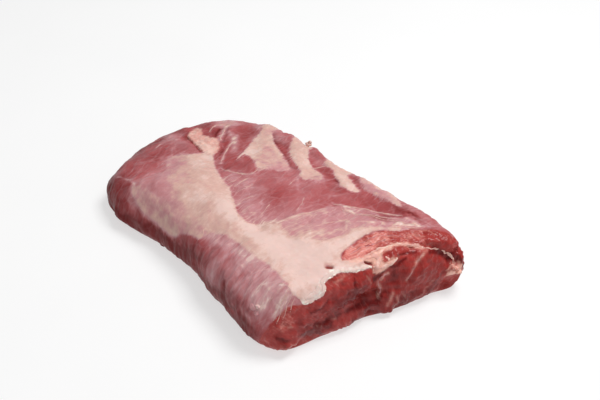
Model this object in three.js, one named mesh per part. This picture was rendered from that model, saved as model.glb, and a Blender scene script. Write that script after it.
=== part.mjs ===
// A whole beef rib eye: the boneless roll as the butcher trims it, laid flat, one solid of meat.
// Millimetres. +X runs along the roll to its fresh-cut end, +Y to the edge where the ribs were,
// +Z up. The origin is under the middle of the roll, on the surface that it lies on.

import * as THREE from "three";

const { clamp, lerp, smoothstep } = THREE.MathUtils;

// ---------------------------------------------------------------- driving sizes

const LENGTH = 424;
const WIDTH = 246;
const HEIGHT = 80.5; // at the cut end, where the roll is thickest
const RISE = 0.05; // height gained for each millimetre towards the cut end
const TAPER_START = -60; // the roll thins from here to its far end
const TAPER_LENGTH = 150;
const FAR_END_DROP = 16; // how much thinner it gets there
const FAR_LEFT_DROP = 10; // and the further drop at the thin left corner of that end
const LEFT_DROP_START = -16;
const LEFT_DROP_WIDTH = 100;
const CAP_START = 135; // past here the top falls away a little to the cut
const CAP_DROP = 8;
const SHOULDER_POWER = 2.3; // 2 rounds the shoulder as an ellipse does, more makes it squarer
const SPINE = { far: -121, near: 109, across: 4 }; // the line that every edge profile leans towards

// How finely the skin is cut into facets.
const CELLS_ALONG = 46;
const CELLS_ACROSS = 44;
const SHOULDER_ROWS = 12;
const TUCK_ROWS = 3;
const UNDERSIDE_ROWS = 2;

// The widest outline, station by station, against the clock from the near left corner.
// along and across are shares of half the length and of half the width. The rest is in
// millimetres: how broad the rounding above the widest line is, how high that line lies, and
// how far the roll draws in below it.
const OUTLINE = [
  { along: 0.76, across: -0.88, shoulder: 40, girth: 20, tuck: 12 }, // near left corner
  { along: 0.815, across: -0.495, shoulder: 22, girth: 16, tuck: 10 },
  { along: 0.845, across: -0.12, shoulder: 18, girth: 14, tuck: 9 },
  { along: 0.915, across: 0.275, shoulder: 26, girth: 14, tuck: 9 },
  { along: 0.95, across: 0.665, shoulder: 34, girth: 20, tuck: 10 },
  { along: 0.99, across: 0.95, shoulder: 34, girth: 30, tuck: 14 }, // near right corner
  { along: 0.8, across: 0.99, shoulder: 30, girth: 34, tuck: 14 },
  { along: 0.505, across: 0.98, shoulder: 26, girth: 34, tuck: 14 },
  { along: 0.19, across: 0.955, shoulder: 24, girth: 32, tuck: 14 },
  { along: -0.195, across: 0.955, shoulder: 24, girth: 30, tuck: 12 },
  { along: -0.485, across: 0.945, shoulder: 24, girth: 28, tuck: 12 },
  { along: -0.775, across: 0.825, shoulder: 26, girth: 24, tuck: 12 }, // far right corner
  { along: -0.945, across: 0.43, shoulder: 26, girth: 20, tuck: 10 },
  { along: -1, across: -0.035, shoulder: 26, girth: 18, tuck: 10 },
  { along: -0.91, across: -0.49, shoulder: 28, girth: 16, tuck: 10 },
  { along: -0.815, across: -0.815, shoulder: 30, girth: 14, tuck: 10 }, // far left corner
  { along: -0.595, across: -0.89, shoulder: 40, girth: 16, tuck: 10 },
  { along: -0.285, across: -0.83, shoulder: 55, girth: 20, tuck: 12 },
  { along: -0.02, across: -0.84, shoulder: 60, girth: 24, tuck: 14 }, // the waist
  { along: 0.275, across: -0.93, shoulder: 62, girth: 26, tuck: 14 },
  { along: 0.59, across: -0.995, shoulder: 58, girth: 26, tuck: 14 },
];
const NEAR_LEFT = 0;
const NEAR_RIGHT = 5;
const FAR_RIGHT = 11;
const FAR_LEFT = 15;

// ---------------------------------------------------------------- relief

// Round swellings: the middle, the reach along X, Y and Z, and how far the meat stands out
// there. A hollow has a negative rise.
const SWELLINGS = [
  { at: [20, 24, 74], reach: [80, 46, 40], rise: 3.5 }, // the eye, seen from above
  { at: [-70, -55, 66], reach: [80, 36, 40], rise: 3 }, // the broad sinew's back
  { at: [70, -104, 48], reach: [60, 30, 26], rise: 3 }, // the left flank past the waist
  { at: [-168, -50, 46], reach: [36, 46, 30], rise: 2 }, // the lean at the far end
  { at: [-130, -109, 17], reach: [14, 12, 8], rise: 4 }, // knob low on the far left
  { at: [-185, 29, 46], reach: [9, 9, 12], rise: 4 }, // three lumps at the far right
  { at: [-165, 47, 54], reach: [10, 9, 12], rise: 3.5 },
  { at: [-142, 60, 60], reach: [14, 8, 12], rise: 2.5 },

  { at: [170, -22, 54], reach: [45, 32, 20], rise: 5 }, // cut end: the lobe on the left
  { at: [198, 66, 50], reach: [35, 28, 18], rise: 5 }, // the eye's round cut
  { at: [188, 24, 49], reach: [30, 14, 12], rise: -4 }, // the hollow between the two
  { at: [184, -1, 33], reach: [26, 14, 10], rise: -12 }, // and the pocket under the lobe
  { at: [168, -102, 14], reach: [36, 14, 9], rise: 4 }, // the lip at the left corner
  { at: [210, 107, 54], reach: [14, 9, 5], rise: -7 }, // the nick under the cap
  { at: [208, 104, 33], reach: [14, 11, 9], rise: 6 }, // the knob of fat below it

  { at: [172, -84, 3], reach: [30, 18, 9], rise: -7 }, // the ragged lower edge
  { at: [178, -34, 9], reach: [25, 18, 12], rise: 3 },
  { at: [186, 3, 3], reach: [25, 9, 9], rise: -7 },
  { at: [191, 18, 10], reach: [22, 9, 10], rise: 3 },
  { at: [192, 34, 3], reach: [25, 7, 8], rise: -5 },
  { at: [201, 70, 10], reach: [25, 18, 12], rise: 2.5 },
  { at: [208, 97, 6], reach: [25, 10, 12], rise: -7 },
];

// Creases between muscles: a path over the surface, its width and depth. A ridge is a crease
// of negative depth.
const CREASES = [
  // Top: where the broad sinew meets the eye, and two seams at the far end.
  { width: 9, depth: 3, path: [[-121, 9, 68], [-76, -4, 72], [-26, -24, 74], [14, -43, 75], [49, -44, 76]] },
  { width: 6, depth: 4, path: [[-180, 16, 52], [-150, 12, 60], [-118, 2, 66]] },
  { width: 7, depth: 2.5, path: [[-152, 64, 60], [-112, 42, 68], [-70, -2, 72]] },

  // Cut end: the fold over the lip, the cleft beside the lobe, the seam of fat under the cap and
  // a thin seam in the eye.
  { width: 7, depth: 6, path: [[172, -111, 22], [174, -94, 27], [178, -56, 27], [184, -2, 32]] },
  { width: 5, depth: 5, path: [[186, 10, 36], [186, 9, 45], [184, 6, 57], [180, 4, 70]] },
  { width: 6, depth: 4.5, path: [[176, 4, 76], [180, 34, 79], [196, 78, 69], [205, 91, 54], [211, 101, 42]] },
  { width: 5, depth: 2.5, path: [[192, 46, 40], [193, 52, 48], [194, 59, 60]] },

  // Silvery strips that the ribs left along the back edge.
  { width: 15, depth: -2.5, path: [[-108, 104, 62], [-72, 62, 70], [-36, 50, 72]] },
  { width: 8, depth: -2.5, path: [[-72, 108, 62], [-20, 74, 71], [12, 54, 74]] },
  { width: 7, depth: -2.5, path: [[-28, 106, 64], [20, 92, 72], [62, 76, 74]] },
  { width: 6, depth: -2, path: [[40, 104, 66], [100, 95, 72], [140, 88, 74]] },
];

// Rib beds: shallow channels down the back wall.
const RIB_BEDS = {
  first: -92, spacing: 51, count: 5, across: 124, top: 58, bottom: 12, width: 13, depth: 3.5,
};

// Gentle unevenness all over. Each term is two crossed waves, given by the millimetres that a
// wave takes along X, Y and Z and by where it starts.
const WAVES = [
  { height: 1.4, lengths: [[130, 210, 160], [-240, 95, 120]], starts: [0.4, 1.1] },
  { height: 0.8, lengths: [[70, -120, 90], [110, 62, -80]], starts: [2.1, 0.3] },
];
const FLAT_MARGIN = 9; // relief fades out over this height above the underside

// ---------------------------------------------------------------- the smooth body

// A closed Catmull-Rom curve through the outline's stations.
function stationAt(s) {
  const i = Math.floor(s);
  const f = s - i;
  const station = (step) => OUTLINE[(i + step + OUTLINE.length) % OUTLINE.length];
  const blend = (key) => {
    const [a, b, c, d] = [-1, 0, 1, 2].map((step) => station(step)[key]);
    const slope = c - a;
    const bend = 2 * a - 5 * b + 4 * c - d;
    const twist = 3 * (b - c) + d - a;
    return b + 0.5 * f * (slope + f * (bend + f * twist));
  };
  return {
    x: blend("along") * LENGTH / 2,
    y: blend("across") * WIDTH / 2,
    shoulder: blend("shoulder"),
    girth: blend("girth"),
    tuck: blend("tuck"),
  };
}

function topHeight(x, y) {
  const far = clamp((TAPER_START - x) / TAPER_LENGTH, 0, 1);
  const left = clamp((LEFT_DROP_START - y) / LEFT_DROP_WIDTH, 0, 1);
  const level = HEIGHT - RISE * (LENGTH / 2 - x) - CAP_DROP * smoothstep(x, CAP_START, LENGTH / 2);
  return level - FAR_END_DROP * far ** 1.5 - FAR_LEFT_DROP * left * far;
}

// From a point of the outline towards the nearest point of the spine.
function inward(x, y) {
  const toX = clamp(x, SPINE.far, SPINE.near) - x;
  const toY = SPINE.across - y;
  const distance = Math.hypot(toX, toY);
  return { x: toX / distance, y: toY / distance, distance };
}

// The wall at station s: row 0 is the edge of the top, 1 the widest line and 2 the foot, a
// superellipse quarter down to the widest line and an ellipse quarter under it.
function wallPoint(s, row) {
  const station = stationAt(s);
  const lean = inward(station.x, station.y);
  const power = 2 / SHOULDER_POWER;
  const above = Math.min(row, 1) * Math.PI / 2;
  const below = Math.max(row - 1, 0) * Math.PI / 2;
  const drawn = row <= 1
    ? station.shoulder * (1 - Math.sin(above) ** power)
    : station.tuck * (1 - Math.cos(below));
  const x = station.x + lean.x * drawn;
  const y = station.y + lean.y * drawn;
  const rise = Math.max(Math.cos(above), 0) ** power;
  const z = row <= 1
    ? lerp(station.girth, topHeight(x, y), rise)
    : station.girth * (1 - Math.sin(below));
  return new THREE.Vector3(x, y, row === 2 ? 0 : z);
}

// Stations of the wall's columns, with the same number of columns on opposite sides.
function wallStations() {
  const sides = [
    [NEAR_LEFT, NEAR_RIGHT, CELLS_ACROSS],
    [NEAR_RIGHT, FAR_RIGHT, CELLS_ALONG],
    [FAR_RIGHT, FAR_LEFT, CELLS_ACROSS],
    [FAR_LEFT, OUTLINE.length, CELLS_ALONG],
  ];
  return sides.flatMap(([from, to, cells]) =>
    Array.from({ length: cells }, (_, k) => lerp(from, to, k / cells)));
}

// The top inside the wall's upper edge: a Coons patch between its four sides.
function topSheet(rim) {
  const corner = (k) => rim[k % rim.length];
  const near = (j) => corner(j);
  const back = (i) => corner(CELLS_ACROSS + CELLS_ALONG - i);
  const far = (j) => corner(2 * CELLS_ACROSS + CELLS_ALONG - j);
  const left = (i) => corner(2 * CELLS_ACROSS + CELLS_ALONG + i);
  const rows = [];
  for (let i = 0; i <= CELLS_ALONG; i++) {
    const u = i / CELLS_ALONG;
    const row = [];
    for (let j = 0; j <= CELLS_ACROSS; j++) {
      const v = j / CELLS_ACROSS;
      const at = (key) =>
        lerp(left(i)[key], back(i)[key], v) + lerp(far(j)[key], near(j)[key], u)
        - lerp(lerp(left(0)[key], near(0)[key], u), lerp(back(0)[key], back(CELLS_ALONG)[key], u), v);
      const [x, y] = [at("x"), at("y")];
      row.push(new THREE.Vector3(x, y, topHeight(x, y)));
    }
    rows.push(row);
  }
  return rows;
}

// Rings that close the flat underside, from the foot of the wall in towards the spine.
function undersideRing(foot, ring) {
  const share = ring / (UNDERSIDE_ROWS + 1);
  return foot.map((p) => {
    const lean = inward(p.x, p.y);
    return new THREE.Vector3(p.x + lean.x * lean.distance * share, p.y + lean.y * lean.distance * share, 0);
  });
}

// ---------------------------------------------------------------- relief functions

const bell = (distance) => Math.exp(-distance * distance);

function swellingAt(p, { at, reach, rise }) {
  const away = Math.hypot(...p.toArray().map((value, axis) => (value - at[axis]) / reach[axis]));
  return rise * bell(away);
}

function creaseAt(p, { path, width, depth }) {
  const nearest = new THREE.Vector3();
  let distance = Infinity;
  for (let k = 1; k < path.length; k++) {
    const stretch = new THREE.Line3(new THREE.Vector3(...path[k - 1]), new THREE.Vector3(...path[k]));
    stretch.closestPointToPoint(p, true, nearest);
    distance = Math.min(distance, nearest.distanceTo(p));
  }
  return -depth * bell(distance / width);
}

const ribBeds = Array.from({ length: RIB_BEDS.count }, (_, k) => {
  const x = RIB_BEDS.first + k * RIB_BEDS.spacing;
  const path = [[x, RIB_BEDS.across, RIB_BEDS.bottom], [x, RIB_BEDS.across, RIB_BEDS.top]];
  return { path, width: RIB_BEDS.width, depth: RIB_BEDS.depth };
});

function wavesAt(p) {
  const wave = ([x, y, z], start) => Math.sin(2 * Math.PI * (p.x / x + p.y / y + p.z / z) + start);
  return WAVES.reduce((sum, { height, lengths, starts }) =>
    sum + height * wave(lengths[0], starts[0]) * wave(lengths[1], starts[1]), 0);
}

function reliefAt(p) {
  const swollen = SWELLINGS.reduce((sum, swelling) => sum + swellingAt(p, swelling), 0);
  const creased = [...CREASES, ...ribBeds].reduce((sum, crease) => sum + creaseAt(p, crease), 0);
  return (swollen + creased + wavesAt(p)) * smoothstep(p.z, 0, FLAT_MARGIN);
}

// ---------------------------------------------------------------- the solid

function roll() {
  const stations = wallStations();
  const rim = stations.map((s) => wallPoint(s, 0));
  const top = topSheet(rim);
  const rings = [];
  for (let k = 1; k <= SHOULDER_ROWS; k++) rings.push(stations.map((s) => wallPoint(s, k / SHOULDER_ROWS)));
  for (let k = 1; k <= TUCK_ROWS; k++) rings.push(stations.map((s) => wallPoint(s, 1 + k / TUCK_ROWS)));
  const foot = rings[rings.length - 1];
  for (let k = 1; k <= UNDERSIDE_ROWS; k++) rings.push(undersideRing(foot, k));

  const points = [...top.flat(), ...rings.flat(), new THREE.Vector3(0, SPINE.across, 0)];
  const topIndex = (i, j) => i * (CELLS_ACROSS + 1) + j;
  const ringStart = (CELLS_ALONG + 1) * (CELLS_ACROSS + 1);
  const columns = stations.length;
  const faces = [];
  const quad = (a, b, c, d) => faces.push(a, b, c, a, c, d);

  for (let i = 0; i < CELLS_ALONG; i++) {
    for (let j = 0; j < CELLS_ACROSS; j++) {
      quad(topIndex(i, j), topIndex(i + 1, j), topIndex(i + 1, j + 1), topIndex(i, j + 1));
    }
  }

  // The wall's first row hangs on the top sheet's own edge.
  const rimIndex = stations.map((_, k) => {
    if (k < CELLS_ACROSS) return topIndex(CELLS_ALONG, k);
    if (k < CELLS_ACROSS + CELLS_ALONG) return topIndex(CELLS_ALONG - (k - CELLS_ACROSS), CELLS_ACROSS);
    if (k < 2 * CELLS_ACROSS + CELLS_ALONG) return topIndex(0, 2 * CELLS_ACROSS + CELLS_ALONG - k);
    return topIndex(k - 2 * CELLS_ACROSS - CELLS_ALONG, 0);
  });
  const ringIndex = (ring, k) =>
    ring === 0 ? rimIndex[k % columns] : ringStart + (ring - 1) * columns + (k % columns);
  for (let ring = 0; ring < rings.length; ring++) {
    for (let k = 0; k < columns; k++) {
      quad(ringIndex(ring, k), ringIndex(ring + 1, k), ringIndex(ring + 1, k + 1), ringIndex(ring, k + 1));
    }
  }
  for (let k = 0; k < columns; k++) {
    faces.push(ringIndex(rings.length, k), points.length - 1, ringIndex(rings.length, k + 1));
  }

  const geometry = new THREE.BufferGeometry().setFromPoints(points);
  geometry.setIndex(faces);
  return geometry;
}

// Moves every point along its own normal by the relief, then stands the roll on the origin.
function carve(geometry) {
  geometry.computeVertexNormals();
  const { position, normal } = geometry.attributes;
  const point = new THREE.Vector3();
  const outward = new THREE.Vector3();
  for (let k = 0; k < position.count; k++) {
    point.fromBufferAttribute(position, k);
    outward.fromBufferAttribute(normal, k);
    point.addScaledVector(outward, reliefAt(point));
    position.setXYZ(k, point.x, point.y, point.z);
  }
  geometry.computeBoundingBox();
  const middle = geometry.boundingBox.getCenter(new THREE.Vector3());
  geometry.translate(-middle.x, -middle.y, -geometry.boundingBox.min.z);
  geometry.computeVertexNormals();
  return geometry;
}

const rawBeef = new THREE.MeshStandardMaterial({ color: 0x9c5552, roughness: 0.45, metalness: 0 });

const ribEye = new THREE.Mesh(carve(roll()), rawBeef);
ribEye.name = "rib_eye";

const group = new THREE.Group();
group.add(ribEye);

export default group;
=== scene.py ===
# %% [markdown]
# # A whole raw beef rib eye
# The roll is one piece of soft meat: a long waisted slab with a rounded shoulder all round.
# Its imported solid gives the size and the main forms. This script makes the skin that is seen:
# a much finer mesh of the same body, with thin membranes, folds and torn edges modelled into
# it, and one wet meat finish that changes from silvery membrane to lean and to a fresh cut.
# All shapes are worked out in millimetres here, and finished meshes are written in metres.

import bpy
import mathutils
import numpy as np
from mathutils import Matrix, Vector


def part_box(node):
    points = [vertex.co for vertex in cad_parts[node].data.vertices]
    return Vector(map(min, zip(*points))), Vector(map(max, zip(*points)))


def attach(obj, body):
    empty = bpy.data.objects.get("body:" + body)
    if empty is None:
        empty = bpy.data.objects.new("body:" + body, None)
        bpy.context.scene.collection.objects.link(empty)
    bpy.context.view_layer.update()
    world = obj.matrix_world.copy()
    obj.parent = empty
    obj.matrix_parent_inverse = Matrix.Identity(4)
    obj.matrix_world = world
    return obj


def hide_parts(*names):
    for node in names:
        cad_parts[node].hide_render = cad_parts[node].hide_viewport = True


MM = 0.001

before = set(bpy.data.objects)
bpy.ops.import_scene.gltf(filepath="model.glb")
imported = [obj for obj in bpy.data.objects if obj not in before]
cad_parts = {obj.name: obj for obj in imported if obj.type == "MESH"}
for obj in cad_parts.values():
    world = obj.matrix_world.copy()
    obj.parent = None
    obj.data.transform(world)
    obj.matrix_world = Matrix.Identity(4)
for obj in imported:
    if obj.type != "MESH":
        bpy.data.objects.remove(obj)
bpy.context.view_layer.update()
solid_low, solid_high = (np.array(corner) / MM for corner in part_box("rib_eye"))
solid_size = solid_high - solid_low
print("solid, mm:", solid_size.round(1))

# %% [markdown]
# ## The camera
# The photograph looks down on the cut end from its left. A camera can be placed by hand, but
# here its place is worked out from three readable numbers: the direction it looks from, how
# steeply, and how far away. The aim is the point that falls in the middle of the picture.

# %% Camera
CAMERA_AROUND = np.radians(49.0)
CAMERA_ABOVE = np.radians(37.3)
CAMERA_DISTANCE = 1.390
CAMERA_AIM = np.array([-0.0019, 0.0603, 0.0280])
CAMERA_LENS, CAMERA_SENSOR = 70, 36  # both in millimetres


def towards(around, above):
    """A unit vector: around from -Y towards +X, above the floor."""
    level = np.cos(above)
    return np.array([np.sin(around) * level, -np.cos(around) * level, np.sin(above)])


def turn_to(thing, place, aim):
    """Puts a camera or a light at place and turns its -Z axis towards aim."""
    thing.location = place
    away = mathutils.Vector(place) - mathutils.Vector(aim)
    thing.rotation_euler = away.to_track_quat("Z", "Y").to_euler()


camera_data = bpy.data.cameras.new("photo_camera")
camera_data.lens = CAMERA_LENS
camera_data.sensor_width = CAMERA_SENSOR
camera = bpy.data.objects.new("photo_camera", camera_data)
bpy.context.scene.collection.objects.link(camera)
turn_to(camera, CAMERA_AIM + CAMERA_DISTANCE * towards(CAMERA_AROUND, CAMERA_ABOVE), CAMERA_AIM)
bpy.context.scene.camera = camera
print("camera at", [round(value, 3) for value in camera.location])

# %% [markdown]
# ## The smooth body
# The body is drawn the way a loaf or a boat hull is: one closed outline seen from above, and at
# every station of it an edge profile that leans in towards a spine line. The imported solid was
# made by the same rule, so the fine skin lies on it. Remeshing the solid would be another way,
# but then no point would know where on the roll it lies.

# %% Body sizes
RELIEF_ADDS = np.array([1.9, 0.2, -1.9])  # mm, to length, width and height; the drops lower the top
LENGTH, WIDTH, HEIGHT = solid_size - RELIEF_ADDS
RISE = 0.05  # height gained for each millimetre towards the cut end
TAPER_START, TAPER_LENGTH = -60, 150
FAR_END_DROP, FAR_LEFT_DROP = 16, 10
LEFT_DROP_START, LEFT_DROP_WIDTH = -16, 100
CAP_START, CAP_DROP = 135, 8
SHOULDER_POWER = 2.3
SPINE_FAR, SPINE_NEAR, SPINE_ACROSS = -121, 109, 4

# along and across as shares of half the length and width; shoulder, girth and tuck in mm
OUTLINE = np.array([
    [0.760, -0.880, 40, 20, 12],  # near left corner
    [0.815, -0.495, 22, 16, 10],
    [0.845, -0.120, 18, 14, 9],
    [0.915, 0.275, 26, 14, 9],
    [0.950, 0.665, 34, 20, 10],
    [0.990, 0.950, 34, 30, 14],  # near right corner
    [0.800, 0.990, 30, 34, 14],
    [0.505, 0.980, 26, 34, 14],
    [0.190, 0.955, 24, 32, 14],
    [-0.195, 0.955, 24, 30, 12],
    [-0.485, 0.945, 24, 28, 12],
    [-0.775, 0.825, 26, 24, 12],  # far right corner
    [-0.945, 0.430, 26, 20, 10],
    [-1.000, -0.035, 26, 18, 10],
    [-0.910, -0.490, 28, 16, 10],
    [-0.815, -0.815, 30, 14, 10],  # far left corner
    [-0.595, -0.890, 40, 16, 10],
    [-0.285, -0.830, 55, 20, 12],
    [-0.020, -0.840, 60, 24, 14],  # the waist
    [0.275, -0.930, 62, 26, 14],
    [0.590, -0.995, 58, 26, 14],
])
NEAR_LEFT, NEAR_RIGHT, FAR_RIGHT, FAR_LEFT = 0, 5, 11, 15
print("outline stations:", len(OUTLINE))


# %% Curves and steps
def curve_through(points, steps, closed):
    """A smooth curve: each stretch is a cubic that leaves a point along the line between that
    point's neighbours. steps counts from 0 at the first point."""
    points = np.asarray(points, float)
    steps = np.asarray(steps, float)
    start = np.floor(steps).astype(int)
    if not closed:
        start = np.clip(start, 0, len(points) - 2)
    share = (steps - start)[..., None]

    def neighbour(step):
        index = start + step
        return points[index % len(points) if closed else np.clip(index, 0, len(points) - 1)]

    before, here, after, beyond = (neighbour(step) for step in (-1, 0, 1, 2))
    slope = after - before
    bend = 2 * before - 5 * here + 4 * after - beyond
    twist = 3 * (here - after) + beyond - before
    return here + 0.5 * share * (slope + share * (bend + share * twist))


def rise_between(value, low, high):
    """0 up to low, 1 from high on, and a smooth S between them."""
    share = np.clip((value - low) / (high - low), 0, 1)
    return share * share * (3 - 2 * share)


def bell(distance):
    """1 at distance 0, falling off as exp(-distance squared)."""
    return np.exp(-distance * distance)


# %% Top height, lean and wall
def top_height(x, y):
    """A level that rises towards the cut end, less the taper, the left drop and the cap's fall."""
    far = np.clip((TAPER_START - x) / TAPER_LENGTH, 0, 1)
    left = np.clip((LEFT_DROP_START - y) / LEFT_DROP_WIDTH, 0, 1)
    level = HEIGHT - RISE * (LENGTH / 2 - x) - CAP_DROP * rise_between(x, CAP_START, LENGTH / 2)
    return level - FAR_END_DROP * far**1.5 - FAR_LEFT_DROP * left * far


def lean_towards_spine(x, y):
    """The unit step from each point towards the nearest point of the spine, and its distance."""
    step = np.stack([np.clip(x, SPINE_FAR, SPINE_NEAR) - x, SPINE_ACROSS - y], -1)
    distance = np.hypot(step[..., 0], step[..., 1])
    return step / distance[..., None], distance


def wall(stations, row):
    """row 0 is the top's edge, 1 the widest line, 2 the foot: a superellipse quarter down to
    the widest line and an ellipse quarter under it."""
    x, y, shoulder, girth, tuck = np.moveaxis(curve_through(OUTLINE, stations, True), -1, 0)
    x, y = x * LENGTH / 2, y * WIDTH / 2
    lean, _ = lean_towards_spine(x, y)
    power = 2 / SHOULDER_POWER
    above = np.minimum(row, 1) * np.pi / 2
    below = np.maximum(row - 1, 0) * np.pi / 2
    drawn = np.where(row <= 1, shoulder * (1 - np.sin(above) ** power), tuck * (1 - np.cos(below)))
    x, y = x + lean[..., 0] * drawn, y + lean[..., 1] * drawn
    rise = np.maximum(np.cos(above), 0) ** power
    z = np.where(row <= 1, girth + (top_height(x, y) - girth) * rise, girth * (1 - np.sin(below)))
    return np.stack([x, y, np.where(row >= 2, 0, z)], -1), lean


# %% [markdown]
# ## One closed skin
# The top is a patch blended from its four sides, and the wall hangs on its edge in
# rings that turn under and close on the spine. Every point also gets a flat place: its own
# place from above on the top, and beyond the edge the length of skin that hangs down. It is
# the hide of the roll laid flat, and all that is drawn on the meat is drawn on that flat hide.

# %% Skin fineness
CELLS_ALONG, CELLS_ACROSS = 260, 170
SHOULDER_ROWS, TUCK_ROWS, UNDERSIDE_ROWS = 46, 10, 6
BEYOND_ALL = (0, 400)  # the hide place of the point that closes the underside


# %% Skin
def patch_between(near, back, far, left):
    """The two ways of joining opposite sides, added up, less the sheet through the corners."""
    v = np.linspace(0, 1, len(near))[None, :, None]
    u = np.linspace(0, 1, len(back))[:, None, None]
    joined = (1 - v) * left[:, None] + v * back[:, None] + (1 - u) * far[None] + u * near[None]
    corners = (1 - u) * ((1 - v) * left[0] + v * far[-1]) + u * ((1 - v) * near[0] + v * near[-1])
    return joined - corners


def skin():
    """Points, flat places, and the quads and closing triangles of the whole roll."""
    sides = (
        (NEAR_LEFT, NEAR_RIGHT, CELLS_ACROSS),
        (NEAR_RIGHT, FAR_RIGHT, CELLS_ALONG),
        (FAR_RIGHT, FAR_LEFT, CELLS_ACROSS),
        (FAR_LEFT, len(OUTLINE), CELLS_ALONG),
    )
    stations = np.concatenate([np.linspace(a, b, cells, endpoint=False) for a, b, cells in sides])
    columns = len(stations)
    turn_1, turn_2 = CELLS_ACROSS, CELLS_ACROSS + CELLS_ALONG
    turn_3 = turn_2 + CELLS_ACROSS

    rim, lean = wall(stations, np.zeros(columns))
    flat_rim = rim[:, :2]
    sheet = patch_between(
        near=flat_rim[: turn_1 + 1],
        back=flat_rim[turn_1 : turn_2 + 1][::-1],
        far=flat_rim[turn_2 : turn_3 + 1][::-1],
        left=np.concatenate([flat_rim[turn_3:], flat_rim[:1]]),
    )
    top = np.dstack([sheet, top_height(sheet[..., 0], sheet[..., 1])]).reshape(-1, 3)

    shares = np.concatenate([
        np.arange(1, SHOULDER_ROWS + 1) / SHOULDER_ROWS,
        1 + np.arange(1, TUCK_ROWS + 1) / TUCK_ROWS,
    ])
    rings = [wall(stations, np.full(columns, share))[0] for share in shares]
    foot = rings[-1]
    inwards, reach = lean_towards_spine(foot[:, 0], foot[:, 1])
    for k in range(1, UNDERSIDE_ROWS + 1):
        ring = foot.copy()
        ring[:, :2] += inwards * (reach * k / (UNDERSIDE_ROWS + 1))[:, None]
        rings.append(ring)
    rings = np.array(rings)

    hang = np.linalg.norm(np.diff(np.concatenate([rim[None], rings]), axis=0), axis=-1).cumsum(0)
    flat_rings = flat_rim[None] - lean[None] * hang[..., None]
    middle = np.array([[0.0, SPINE_ACROSS, 0.0]])
    points = np.concatenate([top, rings.reshape(-1, 3), middle])
    flat = np.concatenate([sheet.reshape(-1, 2), flat_rings.reshape(-1, 2), [BEYOND_ALL]])

    grid = np.arange(len(top)).reshape(CELLS_ALONG + 1, CELLS_ACROSS + 1)
    edge = np.concatenate([grid[-1, :-1], grid[::-1][:-1, -1], grid[0, ::-1][:-1], grid[:-1, 0]])
    loops = np.concatenate([edge[None], len(top) + np.arange(rings.size // 3).reshape(-1, columns)])
    quads = np.concatenate([
        np.stack([grid[:-1, :-1], grid[1:, :-1], grid[1:, 1:], grid[:-1, 1:]], -1).reshape(-1, 4),
        np.stack([loops[:-1], loops[1:], np.roll(loops[1:], -1, 1), np.roll(loops[:-1], -1, 1)], -1)
        .reshape(-1, 4),
    ])
    last = loops[-1]
    closing = np.stack([last, np.full(columns, len(points) - 1), np.roll(last, -1)], -1)
    return points, flat, quads, closing


points, flat, quads, closing = skin()
print("skin:", len(points), "points,", 2 * len(quads) + len(closing), "triangles")


# %% Moving along normals
def normals_of(points, triangles):
    """Each point's normal: the sum of the cross products of the triangles round it, made 1 long."""
    a, b, c = (points[triangles[:, k]] for k in range(3))
    cross = np.cross(b - a, c - a)
    total = np.stack([
        np.bincount(triangles.ravel(), np.repeat(cross[:, axis], 3), len(points)) for axis in range(3)
    ], -1)
    return total / np.maximum(np.linalg.norm(total, axis=1), 1e-9)[:, None]


triangles = np.concatenate([quads[:, [0, 1, 2]], quads[:, [0, 2, 3]], closing])


def press(points, heights):
    """Moves every point along its normal by its height."""
    return points + normals_of(points, triangles) * heights[:, None]


# %% [markdown]
# ## The main relief
# Swellings, hollows and creases are the forms that make the slab look like muscle: the lobe and
# the round eye at the cut end, the pocket between them, the channel where sinew meets the eye.
# They are the solid's own forms, repeated here with the same places so that both agree.

# %% Swellings
SWELLINGS = [  # middle, reach along X, Y and Z, rise
    ((20, 24, 74), (80, 46, 40), 3.5),
    ((-70, -55, 66), (80, 36, 40), 3),
    ((70, -104, 48), (60, 30, 26), 3),
    ((-168, -50, 46), (36, 46, 30), 2),
    ((-130, -109, 17), (14, 12, 8), 4),
    ((-185, 29, 46), (9, 9, 12), 4),
    ((-165, 47, 54), (10, 9, 12), 3.5),
    ((-142, 60, 60), (14, 8, 12), 2.5),
    ((170, -22, 54), (45, 32, 20), 5),
    ((198, 66, 50), (35, 28, 18), 5),
    ((188, 24, 49), (30, 14, 12), -4),
    ((184, -1, 33), (26, 14, 10), -12),
    ((168, -102, 14), (36, 14, 9), 4),
    ((210, 107, 54), (14, 9, 5), -7),
    ((208, 104, 33), (14, 11, 9), 6),
    ((172, -84, 3), (30, 18, 9), -7),
    ((178, -34, 9), (25, 18, 12), 3),
    ((186, 3, 3), (25, 9, 9), -7),
    ((191, 18, 10), (22, 9, 10), 3),
    ((192, 34, 3), (25, 7, 8), -5),
    ((201, 70, 10), (25, 18, 12), 2.5),
    ((208, 97, 6), (25, 10, 12), -7),
    ((2, 108, 62), (24, 10, 12), -2.5),
]

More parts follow.
